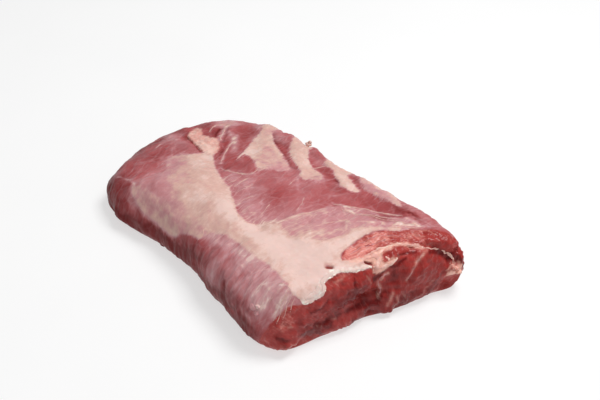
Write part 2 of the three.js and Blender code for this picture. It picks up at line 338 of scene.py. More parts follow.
# %% Creases
CREASES = [  # width, depth, path
    (9, 3, [(-121, 9, 68), (-76, -4, 72), (-26, -24, 74), (14, -43, 75), (49, -44, 76)]),
    (6, 4, [(-180, 16, 52), (-150, 12, 60), (-118, 2, 66)]),
    (7, 2.5, [(-152, 64, 60), (-112, 42, 68), (-70, -2, 72)]),
    (6, 3, [(172, -111, 22), (174, -94, 27), (178, -56, 27)]),
    (7, 5, [(180, -50, 28), (184, -2, 32)]),
    (5, 5, [(186, 10, 36), (186, 9, 45), (184, 6, 57), (180, 4, 70)]),
    (6, 4.5, [(176, 4, 76), (180, 34, 79), (196, 78, 69), (205, 91, 54), (211, 101, 42)]),
    (5, 2.5, [(192, 46, 40), (193, 52, 48), (194, 59, 60)]),
    (15, -2.5, [(-108, 104, 62), (-72, 62, 70), (-36, 50, 72)]),
    (8, -2.5, [(-72, 108, 62), (-20, 74, 71), (12, 54, 74)]),
    (7, -2.5, [(-28, 106, 64), (20, 92, 72), (62, 76, 74)]),
    (6, -2, [(40, 104, 66), (100, 95, 72), (140, 88, 74)]),
]
RIB_BEDS = [(13, 3.5, [(x, 124, 12), (x, 124, 58)]) for x in (-92, -41, 10, 61, 112)]
WAVES = [  # height, the two waves' lengths along X, Y and Z, where they start
    (1.4, (130, 210, 160), (-240, 95, 120), (0.4, 1.1)),
    (0.8, (70, -120, 90), (110, 62, -80), (2.1, 0.3)),
]
FLAT_MARGIN = 9  # mm above the table over which the relief fades in


# %% Main relief
def path_distance(places, path):
    """How far each place is from the nearest stretch of an open path."""
    nearest = np.full(len(places), np.inf)
    path = np.asarray(path, float)
    for start, end in zip(path[:-1], path[1:]):
        along = end - start
        share = np.clip((places - start) @ along / (along @ along), 0, 1)
        nearest = np.minimum(nearest, np.linalg.norm(places - start - share[:, None] * along, axis=1))
    return nearest


def main_relief(places):
    """Bells for swellings, bell-shaped grooves for creases and two crossed-wave terms, all
    faded out towards the flat underside."""
    height = np.zeros(len(places))
    for middle, reach, rise in SWELLINGS:
        height += rise * bell(np.linalg.norm((places - middle) / np.array(reach, float), axis=1))
    for width, depth, path in CREASES + RIB_BEDS:
        height -= depth * bell(path_distance(places, path) / width)
    for size, first, second, starts in WAVES:
        turns = (places @ (1 / np.array(lengths, float)) for lengths in (first, second))
        one, other = (np.sin(2 * np.pi * turn + start) for turn, start in zip(turns, starts))
        height += size * one * other
    return height * rise_between(places[:, 2], 0, FLAT_MARGIN)


points = press(points, main_relief(points))
print("body, mm:", (points.max(0) - points.min(0)).round(1))

# %% [markdown]
# ## What is drawn on the flat hide
# Membranes and muscles are areas with an outline. Painting an image would fix their edges at
# one sharpness. Instead each outline becomes a distance: how many millimetres a point lies
# inside it. The same number then raises the edge in the mesh and blends the colour in the
# finish, which may still tear or blur the edge with noise.

# %% Outlines on the hide
# points are (u, v) in millimetres on the hide; neighbours share the list of their common border
EYE_EDGE = [  # where the broad sinew meets the thin membrane beside it
    (75, -28), (86, -30), (96, -23), (108, -17), (118, -12), (122, 0), (126, 14), (129, 28),
    (134, 41),
]
TORN_EDGE = [  # where the sinew ends in a torn white edge over the cut
    (182, 7), (178, 2), (176, -5), (174, -12), (171, -20), (168, -27), (166, -31), (165, -38),
    (165, -46), (166, -54), (169, -55), (172, -58), (174, -64), (173, -72), (172, -80), (170, -86),
]
SINEW = [  # the broad pale sinew, from its far corner along the eye of the roll
    (-118, 24), (-110, 19), (-102, 10), (-92, 3), (-82, -4), (-71, -9), (-60, -13), (-50, -16),
    (-38, -18), (-28, -23), (-18, -28), (-8, -34), (2, -39), (12, -44), (24, -47), (38, -44),
    (48, -38), (54, -31), (62, -25), *EYE_EDGE, (140, 52), (148, 60), (160, 68), (155, 58),
    (148, 49), (143, 37), (141, 23), (142, 10), (144, 1), (147, -8), (152, -16), (157, -18),
    (161, -13), (166, -2), (172, 7), (181, 7), *TORN_EDGE[1:], (164, -86), (157, -88), (149, -86),
    (140, -84), (128, -81), (114, -79), (100, -78), (86, -79), (70, -78), (50, -77), (35, -78),
    (20, -81), (12, -86), (9, -96), (0, -98), (-9, -99), (-19, -103), (-29, -109), (-37, -114),
    (-50, -115), (-65, -114), (-78, -113), (-92, -111), (-102, -108), (-111, -103), (-120, -99),
    (-127, -94), (-125, -89), (-118, -87), (-122, -78), (-118, -67), (-116, -55), (-122, -45),
    (-134, -36), (-142, -28), (-138, -20), (-128, -12), (-122, -4), (-121, 6), (-119, 16),
]
STRIPS = [  # pale strips where the ribs lay, over the top and down the back wall
    [(-112, 170), (-113, 120), (-108, 93), (-101, 84), (-97, 72), (-92, 62), (-86, 52), (-82, 42),
     (-77, 32), (-70, 21), (-72, 29), (-74, 34), (-66, 35), (-57, 34), (-48, 30), (-40, 26),
     (-33, 23), (-30, 30), (-22, 36), (-14, 41), (-10, 48), (-12, 55), (-22, 60), (-34, 64),
     (-48, 70), (-60, 75), (-72, 80), (-82, 87), (-90, 96), (-88, 120), (-86, 170)],
    [(-66, 170), (-66, 120), (-62, 102), (-55, 93), (-48, 84), (-42, 78), (-34, 73), (-26, 69),
     (-16, 65), (-6, 61), (2, 58), (8, 53), (14, 49), (20, 51), (25, 56), (30, 62), (33, 67),
     (26, 71), (16, 74), (8, 74), (4, 76), (-4, 79), (-10, 81), (-14, 86), (-22, 92), (-28, 100),
     (-30, 120), (-28, 170)],
    [(-12, 170), (-8, 125), (2, 98), (10, 89), (20, 88), (30, 84), (36, 80), (44, 77), (50, 75),
     (56, 71), (62, 70), (70, 73), (76, 76), (78, 80), (74, 84), (66, 86), (56, 90), (45, 94),
     (44, 102), (38, 125), (34, 170)],
    [(44, 170), (50, 122), (60, 98), (66, 94), (78, 90), (90, 89), (104, 90), (118, 93), (130, 96),
     (118, 104), (96, 112), (80, 125), (76, 170)],
    [(98, 170), (104, 130), (112, 122), (124, 122), (130, 135), (128, 170)],
]
LILAC = [  # thin membrane with a clear edge, between the eye of the roll and the cap
    (54, -34), (59, -22), (61, -10), (64, 0), (68, 8), (72, 17), (74, 27), (76, 36), (82, 44),
    (90, 51), (98, 55), (108, 61), (118, 66), (126, 67), (136, 72), (150, 82), (164, 91), (172, 90),
    (162, 76), (150, 63), (140, 53), *EYE_EDGE[::-1], (64, -28),
]
FAT = [
    [(-169, 20), (-156, 17), (-144, 15), (-134, 11), (-124, 9), (-116, 10), (-107, 14), (-110, 23),
     (-120, 32), (-129, 36), (-141, 36), (-153, 33), (-161, 37), (-168, 41), (-178, 42), (-176, 33)],
    [(162, -14), (163, -2), (165, 8), (166, 18), (168, 30), (170, 42), (173, 51), (178, 58),
     (184, 64), (190, 71), (192, 73), (190, 69), (185, 62), (180, 56), (175, 48), (173, 38),
     (172, 26), (178, 21), (183, 24), (184, 36), (187, 30), (190, 22), (189, 12), (184, 7),
     (176, 9), (170, 0), (167, -8)],
    [(221, 111), (224, 116), (224, 122), (228, 128), (233, 134), (232, 127), (230, 121), (228, 116)],
]
CUT = [  # the cap's cut edge and the whole cut end
    (151, -16), (146, -8), (143, 1), (141, 10), (140, 23), (142, 37), (147, 49), (154, 58),
    (163, 70), (172, 83), (180, 93), (190, 103), (200, 114), (206, 130), (212, 150), (240, 200),
    (330, 200), (330, -200), (170, -220), (150, -180), (152, -160), (156, -140), (159, -125),
    (161, -110), (163, -98), (167, -90), (171, -84), (173, -75), (174, -64), (172, -58), (167, -54),
    (165, -46), (165, -36), (167, -28), (172, -18), (176, -6), (180, 4), (176, 6), (171, 3),
    (165, -5), (161, -14), (157, -18),
]


# %% Distance to an outline
def inside_distance(places, outline, steps_each=3):
    """Millimetres inside a closed curve through the outline's points, negative outside. The
    nearest stretch gives the distance, and the count of edges crossed by a ray gives the side."""
    steps = np.arange(len(outline) * steps_each) / steps_each
    loop = curve_through(outline, steps, True)
    nearest = np.full(len(places), np.inf)
    inside = np.zeros(len(places), bool)
    for start, end in zip(loop, np.roll(loop, -1, 0)):
        along = end - start
        share = np.clip((places - start) @ along / (along @ along), 0, 1)
        gap = places - start - share[:, None] * along
        nearest = np.minimum(nearest, gap[:, 0] ** 2 + gap[:, 1] ** 2)
        crossed = (start[1] > places[:, 1]) != (end[1] > places[:, 1])
        at = start[0] + (places[:, 1] - start[1]) * along[0] / (along[1] if along[1] else 1e-9)
        inside ^= crossed & (places[:, 0] < at)
    return np.where(inside, 1, -1) * np.sqrt(nearest)


def largest(distances):
    """The distance inside whichever outline a place lies deepest in."""
    return np.max(distances, axis=0)


sinew = inside_distance(flat, SINEW)
strip = largest([inside_distance(flat, outline) for outline in STRIPS])
lilac = inside_distance(flat, LILAC)
fat = largest([inside_distance(flat, outline) for outline in FAT])
cut = inside_distance(flat, CUT)
print("points inside: sinew", (sinew > 0).sum(), "strips", (strip > 0).sum(), "cut", (cut > 0).sum())


# %% Soft noise
def soft_noise(places, lengths, seed, waves=24):
    """Plane waves with random directions and starts, added up: mostly between -1 and 1.
    lengths gives the size of a bump along each axis."""
    random = np.random.default_rng(seed)
    turns = random.normal(size=(waves, places.shape[1]))
    turns *= random.uniform(0.6, 1.6, (waves, 1)) / np.linalg.norm(turns, axis=1, keepdims=True)
    starts = random.uniform(0, 2 * np.pi, waves)
    phase = 2 * np.pi * (places / np.array(lengths, float)) @ turns.T + starts
    return np.sin(phase).sum(1) * 0.7 * np.sqrt(2 / waves)


# %% [markdown]
# ## Soft tones
# Some differences have no edge: the lean is deeper where it is thick and bare, and paler where
# a thin veil of membrane lies over it. They are noted as a painter would: dabs, which are bells
# with a place, reach, turn and strength, and strokes, which are bells along a path. Both are
# laid on places that noise has pushed about a little, so no dab keeps its oval shape.
# The numbers drawn this way are: veil, how thick the thin membrane is over lean; thick, how
# thick sinew and strips are; fade, how softly the sinew ends; rim, where it frays over lean;
# flank, the near side; how dark the lean is, partly painted shade low on the walls and in gaps;
# how dark the cut is, partly painted shade down it and painted light on its top; and holes, painted
# dark.

# %% Dabs and strokes
def dabs(places, rows):
    """Sum of strength times bell over rows of (u, v, reach along, reach across, turn, strength)."""
    total = np.zeros(len(places))
    for u, v, along, across, turn, strength in rows:
        angle = np.radians(turn)
        away = places - (u, v)
        first = (away[:, 0] * np.cos(angle) + away[:, 1] * np.sin(angle)) / along
        second = (away[:, 1] * np.cos(angle) - away[:, 0] * np.sin(angle)) / across
        total += strength * bell(np.hypot(first, second))
    return total


def strokes(places, rows):
    """Sum of strength times bell of distance over width, over rows of (width, strength, path)."""
    total = np.zeros(len(places))
    for width, strength, path in rows:
        total += strength * bell(path_distance(places, path) / width)
    return total


DAB_PUSH, LINE_PUSH = 0.8, 0.12  # strokes are pushed far less, to stay where they are drawn
BROAD_PUSH, SMALL_PUSH = 4.0, 1.6
push = np.stack([
    BROAD_PUSH * soft_noise(flat, (22, 22), seed) + SMALL_PUSH * soft_noise(flat, (7, 7), seed + 1)
    for seed in (21, 23)
], -1)
pushed = flat + push * DAB_PUSH
lightly_pushed = flat + push * LINE_PUSH
print("places pushed by up to", np.abs(push).max().round(1), "mm")

# %% Membrane over lean
VEIL_DABS = [  # thicker and thinner places of the membrane
    (-5, -10, 40, 22, -20, 0.30), (30, -32, 34, 11, 0, 0.55), (-42, -8, 12, 14, 0, 0.2),
    (50, 0, 13, 34, 8, 0.20), (-5, 32, 30, 12, 0, 0.18), (30, 40, 24, 14, 0, 0.12),
    (-50, -6, 14, 8, -10, 0.25), (18, 6, 13, 11, 0, -0.14), (-26, 4, 8, 22, 0, 0.16),
    (0, 52, 26, 8, -25, 0.22), (70, -2, 12, 12, 0, 0.25), (92, -22, 14, 9, 0, 0.25),
    (52, -14, 9, 12, 0, 0.2), (130, 64, 10, 9, 40, -0.3), (-148, -88, 14, 7, 0, -0.2),
    (160, -110, 14, 12, 0, 0.2), (-20, -120, 40, 7, 0, -0.25), (-160, -120, 20, 8, 0, -0.3),
    (90, 24, 9, 12, 0, -0.25), (110, 60, 8, 6, 0, -0.25), (-90, 0, 8, 6, -40, 0.5),
    (-100, 26, 14, 7, -50, -0.2), (-166, 74, 10, 8, 0, 0.3), (120, -90, 16, 7, 0, 0.2),
    (-188, -28, 6, 10, 0, 0.15), (-118, 53, 8, 5, -30, 0.6), (-103, 44, 7, 5, -45, 0.45),
    (-148, 77, 12, 5, 40, 0.7), (90, 8, 8, 8, 0, -0.12), (-10, 0, 10, 8, 0, 0.2),
    (30, 60, 10, 10, 0, 0.3), (60, 62, 16, 10, 0, 0.06), (108, -6, 26, 20, 0, 0.35),
    (94, 26, 16, 20, 0, 0.15), (84, -22, 22, 8, 0, 0.16), (124, 28, 9, 26, 0, 0.45),
    (72, -18, 8, 12, 0, 0.25), (72, 12, 9, 16, 8, 0.3), (26, -42, 16, 7, 0, 0.4),
    (-6, -18, 26, 14, -20, 0.12), (150, 70, 9, 6, 40, 0.45), (146, 60, 6, 4, 0, 0.35),
    (157, 60, 6, 3.5, 30, 0.4), (128, 62, 12, 8, 40, -0.35), (142, 90, 18, 7, 10, -0.45),
    (60, 106, 24, 6, 0, 0.25), (0, 89, 16, 6, 0, 0.3), (170, 92, 16, 8, 10, 0.16),
    (150, 88, 20, 6, 30, 0.1), (164, 84, 8, 4, 40, 0.2), (-184, 2, 9, 16, 0, 0.34),
    (-160, 2, 24, 10, 0, 0.3), (-180, 8, 10, 10, 0, 0.25), (-138, -16, 14, 7, 10, 0.25),
    (-178, -56, 12, 24, 0, 0.15), (-140, -68, 22, 16, 0, 0.1), (-126, -42, 10, 22, 0, 0.22),
    (-118, -68, 10, 18, 0, 0.25), (-134, -28, 10, 8, 0, 0.3), (-178, -40, 8, 40, 5, 0.10),
    (-128, -86, 12, 5, 0, 0.3), (-115, -100, 10, 8, 0, 0.2), (-160, 74, 16, 13, 0, 0.8),
    (-146, 46, 14, 6, -36, -0.4), (-170, -90, 8, 10, 0, 0.3), (-120, 99, 44, 8, -8, 0.45),
    (-103, 90, 9, 10, 0, 0.40), (-98, 70, 4, 14, 10, 0.25), (-70, 92, 14, 7, -20, 0.25),
    (90, 98, 60, 7, 0, 0.18), (150, 102, 30, 8, 0, 0.22), (16, -86, 20, 9, 0, 0.7),
    (55, -84, 34, 11, 0, 0.85), (105, -86, 34, 14, 0, 0.9), (142, -98, 20, 18, 0, 1.0),
    (128, -108, 26, 14, 0, 0.4), (70, -106, 30, 9, 0, 0.30), (112, -112, 28, 10, 0, 0.5),
    (52, -118, 9, 14, 15, 0.35), (140, -120, 16, 12, 0, 0.8), (60, -120, 14, 8, 0, 0.2),
    (96, -124, 9, 10, 0, 0.25), (150, -106, 8, 18, 0, 0.3), (60, -128, 10, 8, 0, 0.15),
    (-75, -110, 50, 5, -4, 0.35), (0, 140, 160, 30, 0, 0.25), (-150, -140, 60, 20, 0, 0.05),
]
VEIL_STROKES = [  # thin strands and folds in the membrane
    (1.3, 0.8, [(-72, -1), (-60, 0), (-52, 3), (-44, 6), (-38, 9), (-34, 13), (-33, 20),
     (-30, 30)]),
    (2.2, 0.5, [(-36, 9), (-33, 14)]), (1.4, 0.4, [(-30, 6), (-31, -4), (-29, -14)]),
    (1.3, 0.3, [(-41, 2), (-40, -10)]), (1.3, 0.3, [(-18, 2), (-17, -10), (-19, -18)]),
    (1.3, 0.25, [(-52, -2), (-51, -10)]), (1.2, 0.3, [(10, 42), (12, 36), (16, 30)]),
    (1.3, 0.35, [(12, 46), (20, 38), (29, 31)]), (1.2, 0.3, [(48, 24), (56, 14), (60, 4)]),
    (1.2, 0.22, [(8, 12), (14, 4), (12, -6)]), (1.2, 0.25, [(14, -8), (18, -14), (16, -24)]),
    (1.3, 0.25, [(28, -12), (32, -20), (36, -30)]), (1.2, 0.25, [(2, -14), (-2, -24), (2, -34)]),
    (1.3, 0.3, [(40, -14), (42, -26), (46, -34)]), (1.2, 0.25, [(56, 44), (60, 52), (66, 44)]),
    (1.3, 0.6, [(52, -36), (57, -28), (60, -18), (62, -8), (65, 1), (69, 10), (72, 20), (74, 30),
     (75, 40)]),
    (1.4, 0.7, [(72, 44), (80, 46), (89, 50), (98, 56), (108, 62), (120, 68), (132, 76),
     (144, 83)]),
    (1.6, 0.6, [(86, 50), (93, 46), (100, 48), (108, 47)]), (1.2, 0.3, [(92, 44), (98, 40)]),
    (1.2, 0.3, [(96, 12), (100, 20), (104, 28), (111, 33), (116, 31)]),
    (1.4, 0.35, [(118, 40), (130, 52), (142, 64), (154, 76), (164, 86)]),
    (1.4, 0.35, [(110, 52), (124, 62), (138, 73), (150, 84)]), (1.3, 0.3, [(126, 46), (136, 55)]),
    (1.8, 0.4, [(140, 58), (148, 66), (158, 77), (168, 87)]),
    (1.2, 0.3, [(152, 90), (164, 97), (178, 99)]), (1.2, 0.35, [(150, 84), (162, 92), (176, 95)]),
    (1.3, 0.4, [(66, 52), (70, 60), (72, 68)]), (1.3, 0.6, [(4, 72), (9, 80), (12, 87), (20, 90)]),
    (1.1, 0.3, [(52, 72), (55, 66), (58, 60)]), (4.0, 0.35, [(56, -85), (70, -85), (86, -86)]),
    (8.0, 0.3, [(96, -16), (104, -8), (112, 2)]),
    (1.4, 0.7, [(-155, 44), (-160, 52), (-164, 61), (-160, 67)]),
    (1.3, 0.3, [(-128, 66), (-118, 66)]),
    (3.4, 0.95, [(-149, 67), (-140, 55), (-132, 45), (-124, 38)]),
    (4.0, 0.75, [(-132, 58), (-122, 56), (-110, 49), (-99, 41), (-91, 32)]),
    (1.9, 0.9, [(-114, 50), (-107, 38), (-100, 26), (-90, 15), (-82, 6)]),
    (1.4, 0.35, [(-90, 50), (-84, 38), (-78, 28)]), (1.7, 0.6, [(-177, -15), (-174, -24)]),
    (1.3, 0.25, [(-158, -6), (-142, -18), (-126, -30)]),
    (1.3, 0.25, [(-172, 6), (-160, -14), (-146, -34), (-132, -52)]),
    (1.2, 0.22, [(-166, -20), (-154, -40), (-142, -60)]),
    (1.2, 0.3, [(-150, -16), (-146, -22), (-140, -24)]),
    (1.2, 0.6, [(-164, -90), (-150, -88), (-138, -87), (-126, -89)]),
    (1.3, 0.2, [(-164, -56), (-156, -68), (-150, -80)]),
    (1.5, 0.3, [(84, -76), (84, -90), (88, -106), (93, -122)]),
    (1.3, 0.25, [(72, -94), (80, -97), (88, -96)]),
    (1.6, 0.3, [(50, -104), (54, -116), (58, -128)]),
    (1.4, 0.25, [(44, -108), (48, -120), (50, -130)]),
    (1.4, 0.25, [(62, -86), (58, -98), (56, -106)]),
    (1.4, 0.25, [(104, -100), (102, -114), (104, -126)]),
    (1.4, 0.25, [(128, -96), (120, -108), (112, -120)]),
    (1.3, 0.6, [(141, -90), (148, -86), (156, -86)]),
    (1.3, 0.45, [(146, -90), (143, -104), (142, -116)]), (1.3, 0.5, [(3, -86), (8, -92), (7, -98)]),
    (1.3, 0.5, [(156, -88), (157, -100), (161, -112), (164, -124)]),
    (1.3, 0.4, [(161, -90), (164, -102), (166, -114)]),
    (1.3, 0.35, [(151, -90), (153, -104), (156, -120)]),
    (1.8, 0.6, [(132, -122), (138, -120), (143, -118)]), (2.2, 0.5, [(126, -138), (133, -135)]),
    (1.5, 0.4, [(138, -126), (142, -122)]),
]
THIN_VEIL = 0.72  # dabs alone never make it thicker than this
LILAC_VEIL = 0.6  # what the lilac membrane with a clear edge has everywhere
LINE_STRENGTH = 0.65
JOIN_REACH, JOIN_GAIN = 7, 5  # mm; where lilac membrane and sinew meet, they count as one sheet
LOW, HIGH = 8, 34  # heights between which the walls get painted shade: darker and with thinner membrane downwards
LOW_SHADE_AND_LOSS = 0.7  # the share of membrane lost there, which also sets how dark that painted shade is
EDGE_PUSH = 0.2

patchy = 0.8 + 0.35 * soft_noise(flat, (12, 12), 31)
veil_lines = LINE_STRENGTH * strokes(lightly_pushed, VEIL_STROKES) * patchy
# painted shade: every wall darker towards the table, except near the cut
painted_low_shade = (1 - rise_between(points[:, 2], LOW, HIGH)) * (1 - rise_between(cut, -14, 0))
joined = np.maximum(lilac, sinew) + JOIN_GAIN * bell((lilac - sinew) / JOIN_REACH)
veil = LILAC_VEIL * rise_between(joined + push[:, 0] * EDGE_PUSH, -1, 1.5)
veil = veil + dabs(pushed, VEIL_DABS)
veil = THIN_VEIL * (1 - np.exp(-np.maximum(veil, 0) / THIN_VEIL))
veil = np.clip(veil * (1 - LOW_SHADE_AND_LOSS * painted_low_shade) + veil_lines, 0, 1)
print("mean veil", veil.mean().round(3))

# %% Thickness and edges of the sinew
EVEN_THICKNESS, TORN_THICKER = 0.74, 0.2
THICK_DABS = [  # thicker and thinner places of sinew and strips, against their even thickness
    (-70, -18, 40, 10, -17, -0.03), (-18, -37, 32, 9, -25, -0.02), (30, -54, 40, 9, -6, 0.10),
    (74, -48, 44, 14, 5, 0.16), (120, -44, 40, 30, 0, 0.18), (134, 6, 7, 30, 0, 0.12),
    (-106, 8, 14, 9, -50, 0.12), (152, -62, 16, 20, 0, 0.12), (-100, -20, 20, 14, -40, 0.06),
    (-90, -98, 34, 10, -4, -0.24), (-60, -82, 40, 6, -4, -0.16), (-42, -96, 26, 8, -4, -0.16),
    (-112, -62, 12, 22, 0, -0.26), (-84, -52, 26, 10, -10, -0.1), (-92, -75, 26, 9, 0, -0.3),
    (-112, -34, 14, 12, 0, -0.12), (-128, -28, 12, 12, 0, -0.24), (-41, -60, 12, 10, 0, 0.06),
    (38, -60, 10, 8, 0, -0.12), (-102, -29, 10, 9, 0, -0.1), (-10, -45, 26, 12, -20, 0.08),
    (76, 104, 14, 6, 0, 0.15), (-50, 62, 10, 8, 0, -0.1), (60, -42, 12, 5, -30, -0.10),
    (-104, -82, 10, 6, 0, -0.10), (24, -72, 30, 5, 0, -0.08), (-24, -98, 14, 6, -10, -0.12),
    (4, -88, 14, 8, 0, -0.16), (64, -68, 14, 8, 0, -0.05), (155, -36, 5, 6, 0, -0.25),
    (150, -8, 14, 20, 0, -0.04), (172, 0, 5, 10, -20, -0.15), (-130, -90, 8, 6, 0, -0.1),
    (-70, 38, 12, 16, -25, 0.2), (-46, 50, 18, 14, -20, -0.08), (-20, 42, 12, 14, -20, -0.26),
    (-58, 38, 20, 5, 0, -0.12), (-22, 78, 26, 8, -28, 0.04), (26, 64, 9, 10, 0, -0.22),
    (8, 60, 12, 8, 0, -0.06), (45, 83, 26, 6, -12, 0.04), (92, 97, 40, 8, 4, -0.22),
    (0, 140, 200, 26, 0, -0.24), (-92, 86, 6, 10, 0, -0.1), (-60, 62, 12, 8, -30, -0.12),
    (-50, 90, 14, 6, -30, -0.1),
]
SOFT_EDGE_DABS = [  # how many millimetres the sinew takes to fade out, beyond the usual
    (-128, -45, 30, 40, 0, 7.0), (-80, -112, 60, 14, 0, 4.0), (60, -80, 56, 14, 0, 0.6),
    (108, -78, 34, 12, 0, 1.0), (-20, -24, 60, 12, -20, 1.0), (92, -26, 30, 14, 0, 4.0),
    (132, 30, 14, 40, 0, 2.5),
]
CRISP_FADE, USUAL_FADE = 0.5, 1.6  # mm at the torn edge, and what is added away from it
TORN_REACH, TORN_FAR = 6, 24  # mm from the torn edge
FLANK_START, FLANK_FULL = 64, 84  # mm towards the near side
RIM_REACH, STRIP_RIM_REACH, STRIP_RIM = 15, 12, 0.5

torn = np.sqrt(np.min([((flat - point) ** 2).sum(1) for point in TORN_EDGE], axis=0))
thick = EVEN_THICKNESS + dabs(pushed, THICK_DABS) + TORN_THICKER * bell(torn / TORN_REACH)
thick = np.clip(thick, 0, 1)
away_from_torn = rise_between(torn, TORN_REACH, TORN_FAR)
fade = CRISP_FADE + (USUAL_FADE + dabs(flat, SOFT_EDGE_DABS)) * away_from_torn
flank = rise_between(-flat[:, 1], FLANK_START, FLANK_FULL)
rim = rise_between(sinew, -RIM_REACH, -1) * (1 - flank)
rim = rim * (1 - rise_between(lilac, -3, 3)) * (1 - rise_between(cut, -30, -10))
rim = rim + STRIP_RIM * rise_between(strip, -STRIP_RIM_REACH, -1)
print("mean thickness", thick[sinew > 0].mean().round(3))

# %% Depth of red in the lean, with painted shade
DARK_LEAN_AND_SHADE_DABS = [  # darker and paler places of the lean, with painted shade low on the walls and at the far end
    (-58, 16, 15, 12, 0, 0.24), (-72, 2, 12, 7, -30, 0.3), (-104, 22, 12, 8, -50, 0.3),
    (18, 6, 13, 11, 20, 0.16), (110, 77, 34, 8, 6, 0.30), (60, 66, 14, 6, 0, 0.25),
    (-108, 72, 24, 14, -45, 0.35), (-140, -102, 34, 9, -8, 0.25), (-95, -120, 40, 6, -4, 0.15),
    (-30, -126, 44, 8, 6, 0.7), (5, -112, 24, 9, -8, 0.5), (80, -140, 30, 9, -5, 0.7),
    (122, -148, 24, 11, 0, 0.7), (-145, -2, 16, 8, 10, 0.3), (-152, -40, 16, 14, -50, 0.4),
    (-150, -98, 20, 9, 0, 0.35), (-142, -114, 24, 10, 0, 0.6), (-2, -116, 30, 8, 0, 0.4),
    (-62, -124, 30, 8, 0, 0.5), (-68, 86, 18, 5, -20, 0.55), (-36, 72, 22, 4, -30, 0.35),
    (-12, 92, 20, 5, -2, 0.35), (62, 93, 22, 3, -4, 0.5), (26, 79, 14, 4, -15, 0.3),
    (48, 74, 10, 2.5, -20, 0.4), (-172, 52, 14, 9, -20, 0.6), (-147, 47, 13, 8, -36, 0.5),
    (-72, 78, 8, 7, 0, 0.5), (-176, 25, 6, 6, 0, 0.5), (-180, -50, 9, 50, 6, 0.5),
    (-192, -20, 9, 50, 0, 0.8), (-172, -100, 12, 20, 0, 0.5), (150, -148, 22, 10, 0, 0.15),
    (-152, -88, 14, 6, 0, 0.3), (152, -116, 16, 16, 0, -0.5), (-178, -115, 16, 26, 0, 0.8),
    (-120, -132, 60, 9, 0, 1.0), (20, -136, 60, 9, 0, 1.0), (40, -108, 14, 9, 0, 0.35),
    (72, -120, 12, 9, 0, 0.55), (88, -134, 12, 12, 0, 0.4), (-152, -20, 6, 4, 0, 0.3),
    (26, -30, 4, 4, 0, 0.3), (-46, -10, 3, 7, 0, 0.3), (-22, -4, 3, 10, 0, 0.2),
    (150, 91, 5, 2.5, -20, 0.6), (130, 98, 20, 4, 5, 0.3), (140, 90, 18, 6, 10, 0.5),
    (130, 62, 10, 7, 40, 0.2), (118, -134, 10, 8, 0, 0.4), (-40, 8, 4, 6, 0, 0.2),
    (150, -114, 8, 10, 0, 0.2), (160, -112, 14, 12, 0, -0.5), (120, 92, 24, 6, 0, 0.35),
    (130, 66, 12, 9, 40, 0.3), (-170, -52, 10, 16, 0, 0.3), (-10, -120, 60, 7, 0, 0.25),
    (238, 140, 12, 10, 0, 0.6), (0, 190, 300, 30, 0, 0.5), (0, -190, 300, 30, 0, 0.9),
]
SHADED_GAP_STROKES = [  # painted shade in the gaps beside strands and strips
    (1.4, 0.5, [(-172, 17), (-158, 17), (-145, 15), (-132, 11), (-121, 8)]),
    (2.0, 0.4, [(-90, 94), (-78, 84), (-60, 77), (-44, 70), (-28, 64), (-12, 58), (-2, 60)]),
    (1.6, 0.7, [(-143, 66), (-134, 55), (-126, 46), (-118, 37)]),
    (1.6, 0.6, [(-152, 58), (-145, 48), (-136, 39)]),
    (1.6, 0.45, [(-121, 48), (-114, 38), (-107, 27), (-98, 16)]),
    (1.4, 0.3, [(60, -34), (56, -22), (58, -10), (61, 0)]), (1.4, 0.35, [(95, -98), (97, -112)]),
    (1.5, 0.35, [(40, -92), (38, -106)]), (1.5, 0.3, [(66, -94), (58, -110)]),
    (1.5, 0.3, [(112, -116), (118, -130)]), (1.4, 0.4, [(54, 73), (48, 75), (40, 78)]),
    (1.4, 0.5, [(70, -112), (80, -124), (84, -138)]),
    (1.3, 0.35, [(158, -90), (160, -102), (163, -114)]),
    (1.3, 0.3, [(130, 70), (142, 80), (152, 90)]), (1.2, 0.3, [(166, -92), (168, -104)]),
]
shaded_gaps = strokes(lightly_pushed, SHADED_GAP_STROKES)
# the lean's own darker red together with painted shade in gaps and low on the walls
dark_lean_and_shade = np.clip(dabs(pushed, DARK_LEAN_AND_SHADE_DABS) + shaded_gaps + LOW_SHADE_AND_LOSS * painted_low_shade, 0, 1)
print("mean deep", dark_lean_and_shade.mean().round(3))

# %% Depth of red in the cut, with painted shade and light
EVEN_FACE, DARKEST_FACE = 0.45, 1.2
CUT_SHADE_AND_DEPTH_DABS = [  # painted shade, painted light and depth of red over the cut end, from its lit top to its pocket
    (190, -40, 12, 50, 0, 0.3), (200, -30, 12, 24, 8, 0.35), (204, -62, 12, 26, 5, 0.3),
    (208, -8, 12, 18, 8, 0.35), (206, 32, 14, 18, 10, 0.4), (224, 4, 5, 24, 5, 0.6),
    (204, -98, 10, 20, -20, 0.6), (232, -50, 10, 34, 0, 0.5), (222, 92, 16, 16, 50, 0.25),
    (182, -140, 12, 12, 40, 0.25), (216, 62, 14, 22, 20, 0.28), (232, 6, 12, 18, 0, 0.3),
    (236, 62, 8, 18, 0, 0.35), (182, -80, 8, 26, 0, 0.15), (180, -6, 6, 10, 0, 0.2),
    (196, 90, 10, 16, 50, 0.15), (190, 35, 8, 10, 0, 0.2), (188, -110, 14, 14, 0, 0.2),
    (245, 30, 10, 120, 0, 0.4), (172, -120, 8, 20, 0, -0.2), (164, -138, 14, 8, 0, 0.15),
    (189, -129, 6, 6, 0, -0.25), (198, -31, 6, 8, 0, 0.1), (156, 4, 10, 22, 0, -0.55),
    (154, 34, 9, 16, 0, -0.45), (168, 46, 6, 10, 40, 0.1), (172, 62, 8, 8, 40, -0.2),
    (176, 76, 10, 12, 40, -0.15), (222, -62, 8, 14, 0, -0.15), (210, 2, 8, 12, 0, -0.2),
    (232, 104, 8, 9, 0, 0.35), (232, 45, 8, 18, 0, 0.2), (220, 122, 7, 10, 0, 0.2),
    (172, -42, 6, 12, 0, -0.1), (212, -48, 5, 18, 10, -0.08), (228, -36, 8, 12, 0, -0.05),
]
